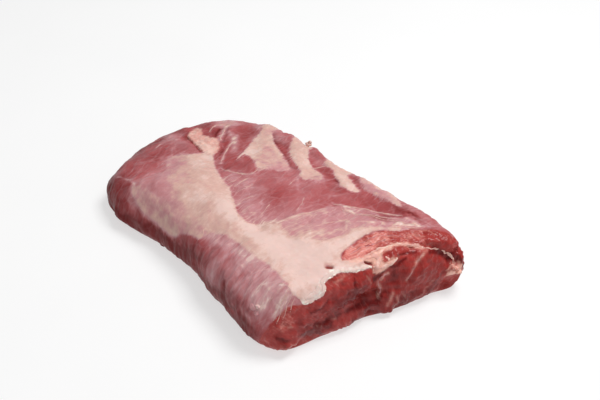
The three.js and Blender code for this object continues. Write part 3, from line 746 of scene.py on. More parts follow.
SHADED_FURROW_STROKES = [  # painted shade in furrows of the cut; the last is the painted shadow under the sinew's edge at the cap
    (1.8, 0.4, [(172, -141), (180, -136), (188, -128), (193, -118), (198, -100), (203, -80)]),
    (1.8, 0.25, [(203, -80), (208, -62), (213, -42)]),
    (2.0, 0.6, [(213, -42), (219, -22), (223, -4)]), (2.2, 0.8, [(191, 20), (193, 12), (197, 7)]),
    (1.5, 0.7, [(222, 18), (226, 6), (225, -6)]),
    (1.4, 0.5, [(196, 78), (204, 92), (212, 104), (220, 116)]),
    (1.4, 0.5, [(190, 48), (191, 36), (190, 28)]), (1.5, 0.5, [(184, 40), (186, 52), (190, 62)]),
    (1.6, 0.6, [(214, 106), (220, 118), (228, 132)]),
    (1.3, 0.4, [(178, -20), (186, -24), (196, -24)]), (1.3, 0.5, [(152, 20), (158, 26)]),
    (1.3, 0.35, [(236, 52), (242, 60), (246, 70)]),
    (1.2, 0.35, [(180, -88), (184, -74), (182, -60)]), (1.2, 0.3, [(206, -86), (209, -74)]),
    (1.2, 0.5, [(153, -17), (147, -8), (143, 1), (141, 12), (140, 24), (143, 38), (149, 49)]),
]
PALE_CUT_STROKES = [  # pale threads of sinew and fat in the cut
    (1.3, 0.6, [(194, 70), (198, 62), (203, 57), (209, 53), (213, 50)]),
    (2.0, 0.5, [(197, 62), (200, 59)]),
    (1.6, 0.7, [(197, 26), (195, 18), (199, 13), (207, 14), (215, 17), (221, 13)]),
    (2.4, 0.5, [(222, 34), (228, 30), (232, 26)]), (1.6, 0.35, [(226, 40), (234, 44), (240, 42)]),
    (1.1, 0.4, [(206, -72), (209, -66)]), (1.0, 0.4, [(200, -96), (202, -90)]),
    (1.0, 0.35, [(170, -28), (172, -34), (170, -42)]),
    (1.6, 0.4, [(164, -86), (160, -98), (162, -112)]), (1.3, 0.5, [(176, -120), (177, -116)]),
    (1.0, 0.3, [(146, 6), (152, 10), (160, 10)]), (1.0, 0.35, [(148, 24), (156, 32), (162, 42)]),
    (1.0, 0.3, [(150, 40), (158, 48), (164, 54)]), (1.0, 0.3, [(152, -4), (156, 4), (160, 8)]),
    (1.1, 0.35, [(170, 66), (174, 74), (182, 80)]), (1.1, 0.3, [(166, 76), (176, 86), (186, 92)]),
    (1.2, 0.35, [(196, 64), (194, 72), (192, 80)]), (1.0, 0.3, [(184, -4), (190, -2), (196, 0)]),
    (1.4, 0.3, [(186, 26), (185, 36), (186, 44)]), (1.2, 0.3, [(224, 96), (232, 88), (238, 84)]),
    (1.2, 0.4, [(180, -146), (188, -140), (194, -132)]), (1.0, 0.3, [(228, 50), (234, 58)]),
]
HOLES = [  # slits torn in the membrane and the seam, and a crease along the edge of the far fat; all painted dark, partly as shade
    (1.5, 1.0, [(171, 2), (174, 5), (177, 8)]), (2.0, 0.9, [(155, -38), (158, -35)]),
    (1.0, 0.5, [(186, 62), (183, 58)]),
    (0.8, 0.5, [(-170, 19), (-158, 16), (-145, 13), (-133, 9), (-125, 7)]),
]
HOLE_STRENGTH = 1.3  # over 1, so that a hole is wholly open along its middle
shaded_holes = np.clip(HOLE_STRENGTH * strokes(flat, HOLES), 0, 1)
shaded_furrows = strokes(lightly_pushed, SHADED_FURROW_STROKES)
face_pale = np.clip(strokes(lightly_pushed, PALE_CUT_STROKES), 0, 1)
# the cut's own deeper red, with painted shade down it and in its pocket and painted light on its top
cut_dark_and_shade = np.clip(EVEN_FACE + dabs(pushed, CUT_SHADE_AND_DEPTH_DABS) + shaded_furrows, 0, DARKEST_FACE)
print("mean face depth", cut_dark_and_shade[cut > 0].mean().round(3))


# %% [markdown]
# ## Fine relief
# Raw meat is never smooth: the flank puckers into folds under its membrane, the torn sinew
# stands a millimetre proud of the cut, and cut muscle is lumpy. These are too small for the
# solid but large enough to catch light, so they are modelled. Finer grain is left to the bump.

# %% Fine relief
SINEW_THICKNESS, THIN_SINEW = 1.4, 0.25  # at its torn edge, and well away from it
STRIP_THICKNESS = 0.5
FOLD_HEIGHT, FOLD_SPACING = 1.1, 11
PUCKERED = [(75, -108, 62, 26, 0, 1.0)]  # one dab, where the flank has its folds
FIBRE_HEIGHT = 0.3
BODY_SWELL, BODY_GRIT = 0.45, 0.12  # soft unevenness of the whole roll
LINE_RISE, LINE_GROOVE, HOLE_DEPTH = 0.25, 0.6, 2.5
LUMP_SHARE, CUT_GROOVE, PALE_RISE = 0.8, 0.7, 0.4


def fine_relief():
    """Added heights in mm: sheets with an edge, folds down the flank, streaks and cut lumps."""
    on_top = rise_between(points[:, 2], 0, FLAT_MARGIN)
    u, v = flat.T
    ragged = soft_noise(flat, (5, 5), 11) * 1.2
    sheet = rise_between(sinew + ragged, -0.7, 0.7)
    height = sheet * (THIN_SINEW + (SINEW_THICKNESS - THIN_SINEW) * bell(torn / 16))
    height += STRIP_THICKNESS * rise_between(strip + ragged, -1, 1)
    bare_fat = rise_between(fat + ragged, -4, 4)
    height += bare_fat * (0.3 + 0.4 * soft_noise(flat, (12, 9), 12))

    puckered = dabs(flat, PUCKERED) * (1 - rise_between(cut, -8, 2))
    wander = soft_noise(flat, (40, 60), 13) * 4
    folds = np.sin(2 * np.pi * (u + 0.22 * v + wander) / FOLD_SPACING)
    height += FOLD_HEIGHT * puckered * folds * (0.5 + 0.5 * soft_noise(flat, (30, 50), 14))

    lean = (1 - sheet) * (1 - rise_between(cut, -2, 2))
    height += FIBRE_HEIGHT * lean * soft_noise(flat, (7, 46), 15)
    swell, grit = soft_noise(points, (22, 22, 22), 16), soft_noise(points, (8, 8, 8), 20)
    height += BODY_SWELL * swell + BODY_GRIT * grit
    height += LINE_RISE * veil_lines - LINE_GROOVE * shaded_gaps - HOLE_DEPTH * shaded_holes

    face_only = rise_between(cut, 0, 4) * (1 - bare_fat) * (1 - sheet)
    lumps = 0.8 * soft_noise(points, (14, 12, 11), 17) + 0.3 * soft_noise(points, (6, 5, 5), 18)
    furrows = 0.35 * soft_noise(flat, (24, 6), 19) + 0.3 * soft_noise(flat, (4, 26), 24)
    lined = LUMP_SHARE * lumps + furrows - CUT_GROOVE * shaded_furrows + PALE_RISE * face_pale
    height += face_only * lined
    return height * on_top


points = press(points, fine_relief())
middle = (points.max(0) + points.min(0)) / 2
solid_middle = (solid_low + solid_high) / 2
points += (solid_middle - middle) * (1, 1, 0) - (0, 0, points[:, 2].min())
print("dressed body, mm:", (points.max(0) - points.min(0)).round(1))


# %% [markdown]
# ## The mesh
# Whole arrays go into a mesh in one call. The flat places become a UV map in metres, so a
# pattern in the finish has real sizes, and each drawn number becomes an attribute by name.

# %% Mesh from arrays
def mesh_piece(name, vertices, faces):
    """A new smooth-shaded object at the origin, from points in mm and a list of faces."""
    mesh = bpy.data.meshes.new(name)
    mesh.from_pydata((vertices * MM).tolist(), [], faces)
    mesh.polygons.foreach_set("use_smooth", np.ones(len(mesh.polygons), bool))
    piece = bpy.data.objects.new(name, mesh)
    bpy.context.scene.collection.objects.link(piece)
    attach(piece, "root")
    return piece


def write_uv(mesh, name, places):
    """A UV map that gives every corner its point's flat place."""
    layer = mesh.uv_layers.new(name=name)
    corner_points = np.empty(len(mesh.loops), np.int32)
    mesh.loops.foreach_get("vertex_index", corner_points)
    layer.uv.foreach_set("vector", places[corner_points].astype(np.float32).ravel())


def write_number(mesh, name, values):
    """A number for every point, which a finish reads by its name."""
    attribute = mesh.attributes.new(name, "FLOAT", "POINT")
    attribute.data.foreach_set("value", values.astype(np.float32))


meat = mesh_piece("rib_eye_meat", points, quads.tolist() + closing.tolist())
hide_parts("rib_eye")
write_uv(meat.data, "hide", flat * MM)
skin_numbers = {
    "sinew": sinew, "strip": strip, "fat": fat, "cut": cut, "torn": torn, "veil": veil,
    "thick": thick, "fade": fade, "dark_lean_and_shade": dark_lean_and_shade, "cut_dark_and_shade": cut_dark_and_shade, "face_pale": face_pale,
    "shaded_holes": shaded_holes, "rim": rim, "flank": flank,
}
for name, values in skin_numbers.items():
    write_number(meat.data, name, values)
print("meat mesh:", len(meat.data.vertices), "points")

# %% [markdown]
# ## Loose strands, torn membrane and tags
# Strands of sinew, the torn edge of the membrane and small tags of meat stand off the skin, so
# they are closed bodies of their own. Each strand follows a path on the flat hide, and its
# cross-section is an ellipse in hide places and height. The skin's own points turn them into
# places in the room: a plane is fitted through the nine nearest of them. Every point also
# takes the numbers of the nearest skin point, so one finish serves for all.

# %% Places on the skin
skin_normals = normals_of(points, triangles)
SEARCH_MARGIN = 8  # only skin this close to the places, in mm, is searched
NEAR_WEIGHT = 5  # squared mm over which a skin point's say falls off


def on_skin(places, heights):
    """Points at flat places, lifted along the normal, and the nearest skin point of each. A
    plane is fitted through the nine nearest skin points by least squares, near ones counting
    more, and its value at the place is the answer."""
    low, high = places.min(0) - SEARCH_MARGIN, places.max(0) + SEARCH_MARGIN
    near = np.flatnonzero(((flat > low) & (flat < high)).all(1))
    gaps = ((places[:, None] - flat[near]) ** 2).sum(-1)
    nine = near[np.argpartition(gaps, 9, axis=1)[:, :9]]
    away = flat[nine] - places[:, None]
    weights = np.exp(-(away ** 2).sum(-1) / NEAR_WEIGHT) + 1e-4
    terms = np.concatenate([np.ones_like(away[..., :1]), away], -1)
    values = np.concatenate([points[nine], skin_normals[nine]], -1)
    squares = np.einsum("nki,nk,nkj->nij", terms, weights, terms) + 1e-6 * np.eye(3)
    sums = np.einsum("nki,nk,nkc->nic", terms, weights, values)
    fitted = np.linalg.solve(squares, sums)[:, 0]
    normals = fitted[:, 3:] / np.linalg.norm(fitted[:, 3:], axis=1)[:, None]
    return fitted[:, :3] + normals * heights[:, None], near[gaps.argmin(1)]


def tube_faces(rings, sides):
    """Quads between rings of points, and a fan to the last two points at either end."""
    grid = np.arange(rings * sides).reshape(rings, sides)
    turned = np.roll(grid, -1, 1)
    quads = np.stack([grid[:-1], grid[1:], turned[1:], turned[:-1]], -1).reshape(-1, 4)
    start = np.stack([grid[0], turned[0], np.full(sides, rings * sides)], -1)
    end = np.stack([turned[-1], grid[-1], np.full(sides, rings * sides + 1)], -1)
    return quads, np.concatenate([start, end])


# %% Bodies on the skin
def bodies_piece(name, bodies, changes):
    """One piece of closed bodies, each given as its points, hide places, nearest skin points,
    quads and fans; changes are the numbers in which they differ from the skin."""
    vertices, places, nearest = (np.concatenate([body[k] for body in bodies]) for k in range(3))
    faces, start = [], 0
    for body in bodies:
        faces += (body[3] + start).tolist() + (body[4] + start).tolist()
        start += len(body[0])
    piece = mesh_piece(name, vertices, faces)
    write_uv(piece.data, "hide", places * MM)
    for number, values in skin_numbers.items():
        changed = np.full(start, changes[number]) if number in changes else values[nearest]
        write_number(piece.data, number, changed)
    print(name, start, "points")
    return piece


# %% Strands
SIDES = 10
RING_SPACING, FEWEST_RINGS = 0.9, 6
THINNEST_WIDTH, THINNEST_RISE = 0.15, 0.08
WANDER = 0.25  # mm that noise sways the path
STRAND_SEED, SEEDS_EACH = 100, 5


def strand(width, rise, ragged, path, seed):
    """A strand along a path on the hide: ellipses of a half width and a rise, both swelling and
    fading by noise, pointed at the ends; ragged pushes one side out and in by noise."""
    path = np.asarray(path, float)
    length = np.linalg.norm(np.diff(path, axis=0), axis=1).sum()
    rings = max(FEWEST_RINGS, int(length / RING_SPACING))
    middle = curve_through(path, np.linspace(0, len(path) - 1, rings), False)
    sway = np.stack([soft_noise(middle, (9, 9), seed + k) for k in (0, 1)], -1)
    middle = middle + WANDER * sway
    along = np.gradient(middle, axis=0)
    along /= np.maximum(np.linalg.norm(along, axis=1), 1e-6)[:, None]
    across = np.stack([-along[:, 1], along[:, 0]], -1)
    taper = np.sqrt(np.clip(1 - np.abs(2 * np.arange(rings) / (rings - 1) - 1) ** 5, 0.01, 1))
    taper = taper * (0.85 + 0.2 * soft_noise(middle, (14, 14), seed + 2))
    turn = -2 * np.pi * np.arange(SIDES) / SIDES
    reach = np.maximum(width * taper, THINNEST_WIDTH)[:, None] * np.cos(turn)
    edge = soft_noise(middle, (11, 11), seed + 3) + 0.5 * soft_noise(middle, (4, 4), seed + 4)
    edge = np.maximum(ragged * edge, -0.6 * width)
    reach = reach + edge[:, None] * np.maximum(np.cos(turn), 0)
    lift = np.maximum(rise * taper, THINNEST_RISE)[:, None] * np.sin(turn)
    places = (middle[:, None] + across[:, None] * reach[..., None]).reshape(-1, 2)
    places = np.concatenate([places, middle[:1], middle[-1:]])
    vertices, nearest = on_skin(places, np.concatenate([lift.ravel(), [0, 0]]))
    return vertices, places, nearest, *tube_faces(rings, SIDES)


def strands(rows):
    """One closed body for each row of half width, rise, raggedness and path."""
    return [strand(*row, STRAND_SEED + SEEDS_EACH * k) for k, row in enumerate(rows)]


# %% Where the strands lie
STRANDS = [  # half width, rise, raggedness, path
    (0.6, 0.5, 0.2, [(50, -40), (54, -32), (58, -22), (62, -9), (65, 1), (69, 10), (72, 20),
     (74, 31)]),
    (0.7, 0.5, 0.2, [(76, 43), (84, 48), (95, 55), (108, 62), (120, 68), (132, 76), (145, 83)]),
    (0.6, 0.5, 0.2, [(-72, -1), (-60, 0), (-52, 3), (-44, 6), (-38, 9), (-34, 14), (-33, 22),
     (-30, 30)]),
    (0.8, 0.45, 0.3, [(-155, 44), (-160, 52), (-164, 61), (-159, 68), (-150, 75)]),
    (0.8, 0.4, 0.4, [(-106, 37), (-102, 30), (-99, 25), (-93, 18), (-88, 12), (-83, 7)]),
    (1.2, 0.4, 0.5, [(-147, 65), (-139, 54), (-131, 44), (-125, 38)]),
    (0.5, 0.4, 0.3, [(84, 47), (94, 43), (106, 48), (120, 58), (136, 70), (150, 80)]),
    (0.45, 0.4, 0.3, [(112, 50), (124, 58), (138, 66), (152, 76), (166, 86)]),
    (0.45, 0.4, 0.3, [(98, 12), (101, 22), (106, 31), (114, 34)]),
    (0.4, 0.3, 0.3, [(-52, -2), (-50, -12), (-51, -18)]),
    (0.4, 0.3, 0.3, [(-40, 4), (-39, -8), (-41, -16)]),
    (0.4, 0.3, 0.3, [(-30, 8), (-31, -4), (-29, -16)]),
    (0.35, 0.3, 0.3, [(-18, 4), (-17, -10), (-19, -22)]),
    (0.35, 0.3, 0.3, [(28, -10), (32, -22), (36, -34)]),
    (0.35, 0.3, 0.3, [(2, -12), (-2, -24), (1, -34)]),
    (0.35, 0.3, 0.3, [(10, 44), (12, 36), (16, 28)]),
    (0.35, 0.3, 0.3, [(46, 26), (54, 14), (59, 2)]),
    (0.5, 0.4, 0.2, [(4, 72), (9, 80), (12, 87), (20, 90)]),
    (0.4, 0.35, 0.1, [(153, -87), (156, -96), (159, -106), (162, -116), (164, -125)]),
    (0.35, 0.35, 0.1, [(157, -88), (160, -98), (164, -108), (167, -116)]),
    (0.4, 0.35, 0.1, [(150, -86), (153, -94), (156, -104), (158, -114), (159, -124)]),
    (0.4, 0.35, 0.1, [(147, -87), (145, -95), (144, -106), (145, -114)]),
    (0.35, 0.3, 0.1, [(154, -90), (154, -102), (155, -114), (156, -122)]),
    (0.35, 0.3, 0.1, [(138, -91), (145, -87), (154, -87)]),
    (0.35, 0.3, 0.1, [(160, -89), (163, -96), (167, -104)]),
    (0.5, 0.4, 0.3, [(3, -86), (8, -92), (7, -98)]),
    (0.5, 0.4, 0.3, [(-177, -15), (-174, -24)]),
]
SEAM = [
    (1.4, 0.6, 0.9, [(165, 6), (165, 14), (166, 24), (169, 34), (171, 42)]),
    (1.2, 0.4, 1.0, [(170, 42), (174, 50), (178, 56), (182, 62), (187, 68), (191, 72)]),
    (0.5, 0.35, 0.3, [(190, 72), (194, 78), (198, 85), (201, 90)]),
    (0.6, 0.5, 0.2, [(204, 94), (208, 99), (213, 106), (218, 112), (221, 113)]),
    (2.6, 0.9, 1.2, [(165, 0), (168, 8), (171, 16), (176, 18), (181, 13), (186, 9)]),
    (1.7, 0.6, 0.8, [(180, 9), (184, 15), (187, 23), (187, 31), (185, 38)]),
    (1.3, 0.5, 0.8, [(178, 26), (181, 29), (183, 27)]),
    (0.6, 0.4, 0.3, [(157, -17), (161, -8), (164, 2)]),
    (0.5, 0.4, 0.3, [(146, 56), (152, 64), (160, 73), (170, 84)]),
]
FACE_STRANDS = [
    (0.6, 0.35, 0.6, [(197, 26), (195, 18), (199, 13), (207, 14), (215, 17), (221, 13)]),
    (0.4, 0.4, 0.2, [(194, 70), (198, 62), (203, 57), (209, 53), (213, 50)]),
    (0.4, 0.4, 0.2, [(150, 40), (157, 49), (163, 56), (172, 64)]),
    (0.4, 0.4, 0.2, [(153, -4), (152, 10), (155, 24), (160, 38), (167, 52)]),
    (0.35, 0.4, 0.2, [(147, 0), (146, 14), (148, 28), (152, 40)]),
]
SET_BACK = (2, 0)  # the torn edge lies this far back on the sinew
TORN = [
    (2.2, 0.5, 0.8, np.array(TORN_EDGE[:9]) - SET_BACK),
    (2.4, 0.5, 0.8, np.array(TORN_EDGE[7:]) - SET_BACK),
    (3.0, 0.7, 0.6, [(165, -58), (168, -66), (168, -74), (166, -82)]),
]
BARE = {  # deep inside the sinew, and far outside the cut, the fat, the strips and the holes
    "sinew": 30.0, "cut": -40.0, "fat": -40.0, "strip": -40.0, "shaded_holes": 0.0, "fade": 0.5, "rim": 0.0,
}
FAR_FROM_TORN = 60.0
MADE_OF = {  # each piece's strands, and the numbers in which they differ
    "strands": (STRANDS, {"thick": 0.66, "torn": FAR_FROM_TORN}),
    "seam": (SEAM, {"fat": 12.0, "thick": 0.84, "torn": FAR_FROM_TORN}),
    "face_strands": (FACE_STRANDS, {"thick": 0.45, "torn": FAR_FROM_TORN}),
    "torn_membrane": (TORN, {"thick": 0.9, "torn": 5.0}),
}
pieces = [
    bodies_piece(name, strands(rows), {**BARE, **changes}) for name, (rows, changes) in MADE_OF.items()
]


# %% Tags of meat and fat
LUMP_RINGS, LUMP_SIDES = 9, 14
LUMP_NOISE, LUMP_SEED = 0.25, 300
LOWEST = 0.3  # a tag stays this far above the table


def lump(middle, reach, seed):
    """A knobbly ball round a middle, with three half sizes and noise of a quarter of them."""
    down = np.pi * (np.arange(LUMP_RINGS) + 1) / (LUMP_RINGS + 1)
    around = 2 * np.pi * np.arange(LUMP_SIDES) / LUMP_SIDES
    ball = np.stack([
        np.outer(np.sin(down), np.cos(around)), np.outer(np.sin(down), np.sin(around)),
        np.outer(np.cos(down), np.ones(LUMP_SIDES)),
    ], -1).reshape(-1, 3)
    ball = np.concatenate([ball, [[0, 0, 1], [0, 0, -1]]]) * reach
    ball *= (1 + LUMP_NOISE * soft_noise(ball + middle, (6, 6, 6), seed))[:, None]
    return ball + middle


def lumps(rows):
    """One lump for each row of hide place, lift and half sizes; all its points take their
    numbers from the one skin point nearest to its middle."""
    places, lifts, reaches = (np.array([row[k] for row in rows], float) for k in range(3))
    bodies = []
    for seed, (middle, index, reach) in enumerate(zip(*on_skin(places, lifts), reaches)):
        vertices = lump(middle, reach, LUMP_SEED + seed)
        vertices[:, 2] = np.maximum(vertices[:, 2], LOWEST)
        hide_places = flat[index] + vertices[:, :2] - points[index, :2]
        nearest = np.full(len(vertices), index)
        bodies.append((vertices, hide_places, nearest, *tube_faces(LUMP_RINGS, LUMP_SIDES)))
    return bodies


MEAT_TAGS = [  # place on the hide, lift, half sizes
    ((-77, -156), 0.5, (7, 4, 4)),
    ((-68, -152), 0.0, (5, 3, 3)),
    ((-41, 107), 2.5, (3.5, 3.5, 3)),
    ((-39, 106), 5.0, (2, 2, 2.5)),
]
FAT_TAGS = [  # the knob at the right end of the cut, and three sunk in the flank
    ((222, 113), 0.0, (4.0, 3.5, 3.0)),
    ((225, 119), 0.5, (4.0, 3.5, 3.0)),
    ((229, 125), 0.0, (3.5, 3.5, 3.0)),
    ((131, -124), -1.4, (4.5, 3.0, 3)),
    ((136, -121), -1.2, (4, 2.5, 2.5)),
    ((139, -127), -1.2, (3, 2.5, 3)),
]
pieces += [
    bodies_piece("meat_tags", lumps(MEAT_TAGS), {}), bodies_piece("fat_tags", lumps(FAT_TAGS), {}),
]

# %% [markdown]
# ## Writing a finish as sums
# A material is a graph of nodes. Drawn by hand it is hard to read, so here a small class stands
# for one output of a node, and plus, minus and times on it add Math nodes. Everything else
# comes from one method that takes the kind of node, its settings and what goes into it.

# %% Wires and finishes
class Wire:
    """One output of a node; arithmetic on it adds Math nodes."""

    def __init__(self, finish, socket):
        self.finish = finish
        self.socket = socket

    def _math(self, operation, first, second):
        """A Math node on two wires or numbers."""
        return self.finish.node("ShaderNodeMath", {"operation": operation}, {0: first, 1: second})

    def __add__(self, other):
        return self._math("ADD", self, other)

    def __sub__(self, other):
        return self._math("SUBTRACT", self, other)

    def __rsub__(self, other):
        return self._math("SUBTRACT", other, self)

    def __mul__(self, other):
        return self._math("MULTIPLY", self, other)

    def __truediv__(self, other):
        return self._math("DIVIDE", self, other)

    __radd__ = __add__
    __rmul__ = __mul__


class Finish:
    """A material whose nodes are added one expression at a time."""

    def __init__(self, name):
        self.material = bpy.data.materials.new(name)
        self.material.use_nodes = True
        self.tree = self.material.node_tree
        self.tree.nodes.clear()

    def node(self, kind, settings=None, inputs=None, output=0):
        """A node of any kind: settings first, then the values or wires of its sockets."""
        made = self.tree.nodes.new(kind)
        for key, value in (settings or {}).items():
            setattr(made, key, value)
        for key, value in (inputs or {}).items():
            if isinstance(value, Wire):
                self.tree.links.new(value.socket, made.inputs[key])
            else:
                made.inputs[key].default_value = value
        return Wire(self, made.outputs[output]) if made.outputs else made

    def number(self, name):
        """A number that the mesh holds for every point."""
        return self.node("ShaderNodeAttribute", {"attribute_name": name}, output="Fac")

    def mix(self, share, first, second, blend="MIX"):
        """Two colours, by a share from 0 to 1."""
        settings = {"data_type": "RGBA", "blend_type": blend, "clamp_factor": True}
        return self.node("ShaderNodeMix", settings, {0: share, 6: first, 7: second}, output=2)

    def noise(self, place, scale, detail=3, roughness=0.55, distortion=0.0):
        """Noise in bumps of 1 / scale metres, spread round 0.5."""
        inputs = {"Vector": place, "Scale": scale, "Detail": detail, "Roughness": roughness,
                  "Distortion": distortion}
        return self.node("ShaderNodeTexNoise", {}, inputs)

    def between(self, value, low, high):
        """0 up to low, 1 from high on, smooth between; where low is the larger, 1 comes first."""
        return self.node("ShaderNodeMapRange", {"interpolation_type": "SMOOTHSTEP"},
                         {"Value": value, "From Min": low, "From Max": high})

    def stretch(self, place, scale, turn=0.0):
        """A place turned about Z and then scaled along each axis."""
        turned = self.node("ShaderNodeMapping", {}, {"Vector": place, "Rotation": (0, 0, turn)})
        return self.node("ShaderNodeMapping", {}, {"Vector": turned, "Scale": scale})


def rgb(red, green, blue):
    """A colour as the eye reads it on a screen, 0 to 255, turned into a shader's linear values."""
    value = np.array([red, green, blue]) / 255
    linear = np.where(value <= 0.04045, value / 12.92, ((value + 0.055) / 1.055) ** 2.4)
    return (*linear.tolist(), 1.0)


# %% [markdown]
# ## The meat finish
# Four things are seen: lean, dark red and translucent; membrane over it, which lets the red
# through where it is thin and is cream where it is thick; fat; and the fresh cut. One number,
# how thick the membrane is, can so give every tone from red through pink and lilac to cream.
# Noise stretched along the hide, the way the fibres run, breaks it up into fine lines.
# Shade is painted into the colour too: darker low on the walls, in gaps, furrows and holes and down
# the cut, lighter on the cut's top.

# %% Meat finish: colours
# the deepest lean colour also stands for the painted shade low on the walls and in gaps
LEAN, CLOUDED_LEAN, DARK_LEAN_AND_SHADE = rgb(172, 84, 86), rgb(150, 54, 56), rgb(106, 10, 10)
LILAC_MEMBRANE, CREAM_MEMBRANE = rgb(224, 180, 184), rgb(232, 199, 184)
THICK_MEMBRANE, TORN_MEMBRANE = rgb(240, 212, 203), rgb(254, 242, 230)
# the pale cut also serves as painted light on the cut's top, the dark cut as painted shade down it
PALE_LIT_CUT, RED_CUT, DARK_SHADED_CUT = rgb(222, 136, 126), rgb(162, 52, 48), rgb(108, 14, 14)
CUT_FIBRE, CAP_FIBRE, PALE_CAP_FIBRE = rgb(204, 108, 98), rgb(178, 70, 66), rgb(238, 178, 168)
# the holes' red is darker than lean: the lean under them with painted shade
CUT_THREAD, SHADED_HOLE_RED = rgb(232, 180, 164), rgb(132, 30, 28)
CREAM_FAT, PINK_FAT, CUT_FAT = rgb(244, 204, 190), rgb(226, 164, 152), rgb(244, 190, 172)
print("deep lean, linear:", [round(value, 3) for value in DARK_LEAN_AND_SHADE[:3]])

# %% Meat finish: patterns
beef = Finish("raw_beef")
hide = beef.node("ShaderNodeUVMap", {"uv_map": "hide"})
place = beef.node("ShaderNodeTexCoord", output="Object")
drawn = {name: beef.number(name) for name in skin_numbers}

DRIFT = (0.02, 0.02, 0.0)  # metres by which noise bends the grain of the meat
wander = beef.node("ShaderNodeTexNoise", {}, {"Vector": place, "Scale": 22.0, "Detail": 3.0},
                   output=1)
drift = beef.node("ShaderNodeVectorMath", {"operation": "MULTIPLY_ADD"},
                  {0: wander, 1: DRIFT, 2: hide})
down_cut = beef.stretch(drift, (0.16, 1, 1), np.radians(-14))
fine_streaks = beef.noise(beef.stretch(drift, (1, 0.11, 1)), 520, 4, 0.6)
broad_streaks = beef.noise(beef.stretch(drift, (1, 0.2, 1)), 120, 4, 0.6)
down_face = beef.noise(down_cut, 420, 4, 0.6)
fibres = beef.noise(down_cut, 800, 3, 0.6)
clouds = beef.noise(place, 30, 4, 0.6)
mottle = beef.noise(place, 110, 6, 0.7)
grain = beef.noise(place, 700, 3, 0.6)
fine_swing, broad_swing, cloud_swing, mottle_swing, face_swing, fibre_swing = (
    pattern - 0.5 for pattern in (fine_streaks, broad_streaks, clouds, mottle, down_face, fibres)
)
print("patterns ready:", len(beef.tree.nodes), "nodes")

# %% Meat finish: threads
def threads(place, scale, width):
    """Thin wandering lines: 1 where a broad noise crosses its middle value, 0 beyond width."""
    noise = beef.noise(place, scale, 3, 0.5)
    off_middle = beef.node("ShaderNodeMath", {"operation": "ABSOLUTE"}, {0: noise - 0.5})
    return beef.between(off_middle, width, 0.0)


cells = beef.stretch(drift, (1, 0.45, 1), np.radians(20))
web = beef.node("ShaderNodeTexVoronoi", {"feature": "DISTANCE_TO_EDGE"},
                {"Vector": cells, "Scale": 75.0})
web = beef.between(web, 0.07, 0.0) * beef.between(clouds, 0.38, 0.62)
long_threads = threads(beef.stretch(drift, (1, 0.2, 1), np.radians(-16)), 48, 0.018)
cross_threads = threads(beef.stretch(drift, (0.35, 1, 1), np.radians(30)), 40, 0.02)
print("threads ready:", len(beef.tree.nodes), "nodes")

# %% Meat finish: lean under a thin membrane
# lean darkened alike where its red is deep and where shade is painted
lean_and_shade_tone = beef.mix(drawn["dark_lean_and_shade"], LEAN, DARK_LEAN_AND_SHADE)
lean_and_shade_tone = beef.mix(beef.between(clouds, 0.42, 0.72) * 0.3, lean_and_shade_tone, CLOUDED_LEAN)

on_flank = drawn["flank"]
streaked = (0.8 + 0.6 * on_flank) * broad_swing + (0.5 - 0.3 * on_flank) * fine_swing
streaked = streaked + 0.4 * mottle_swing
lines = 0.16 * web + 0.08 * long_threads + 0.06 * cross_threads
lines = lines + 0.5 * drawn["rim"] * beef.between(fine_streaks, 0.5, 0.74)
clear_of_dark_and_shade = 1 - 0.75 * drawn["dark_lean_and_shade"]
thin_sheet = drawn["veil"] * (1.0 + 1.1 * streaked) + (0.3 * streaked + lines) * clear_of_dark_and_shade

# %% Meat finish: sinew, strips and the tone of the skin
THICKEST_UNTORN = 0.86
ragged = mottle_swing * 6 + broad_swing * 4 + cloud_swing * 3
sinew_share = beef.between((drawn["sinew"] + ragged) / drawn["fade"], -1, 1)
strip_share = beef.between(drawn["strip"] + mottle_swing * 9 + fine_swing * 5, -2.2, 2.2)
sheet_share = beef.node("ShaderNodeMath", {"operation": "MAXIMUM"}, {0: sinew_share, 1: strip_share})
sheet = drawn["thick"] + 0.3 * cloud_swing + 0.48 * mottle_swing + 0.18 * fine_swing
sheet = sheet + 0.04 * long_threads + 0.04 * cross_threads + 0.12 * broad_swing
membrane = thin_sheet * (1 - sheet_share) + sheet * sheet_share
membrane = beef.node("ShaderNodeClamp", {}, {"Value": membrane, "Max": THICKEST_UNTORN})
membrane = membrane + 0.3 * beef.between(drawn["torn"] + mottle_swing * 9, 6, 1) * sheet_share

creamy = beef.between(membrane, 0.46, 0.74) * (1 - 0.8 * on_flank * (1 - sheet_share))
tint = beef.mix(creamy, LILAC_MEMBRANE, CREAM_MEMBRANE)
tint = beef.mix(beef.between(membrane, 0.7, 0.92), tint, THICK_MEMBRANE)
tint = beef.mix(beef.between(membrane, 0.87, 1.05), tint, TORN_MEMBRANE)
skin_tone = beef.mix(membrane, lean_and_shade_tone, tint)
print("skin tone ready:", len(beef.tree.nodes), "nodes")

# %% Meat finish: the cut
# the cut's darkness: its own red, with painted shade down it and painted light on its top
shaded_cut_depth = drawn["cut_dark_and_shade"] + 0.8 * mottle_swing + 0.5 * face_swing + 0.5 * fibre_swing
fresh = beef.mix(beef.between(shaded_cut_depth, 0.0, 0.5), PALE_LIT_CUT, RED_CUT)
fresh = beef.mix(beef.between(shaded_cut_depth, 0.5, 1.1), fresh, DARK_SHADED_CUT)
light_fibres = beef.between(down_face * 0.5 + fibres * 0.5, 0.53, 0.64)
fresh = beef.mix(light_fibres * 0.32, fresh, CUT_FIBRE)
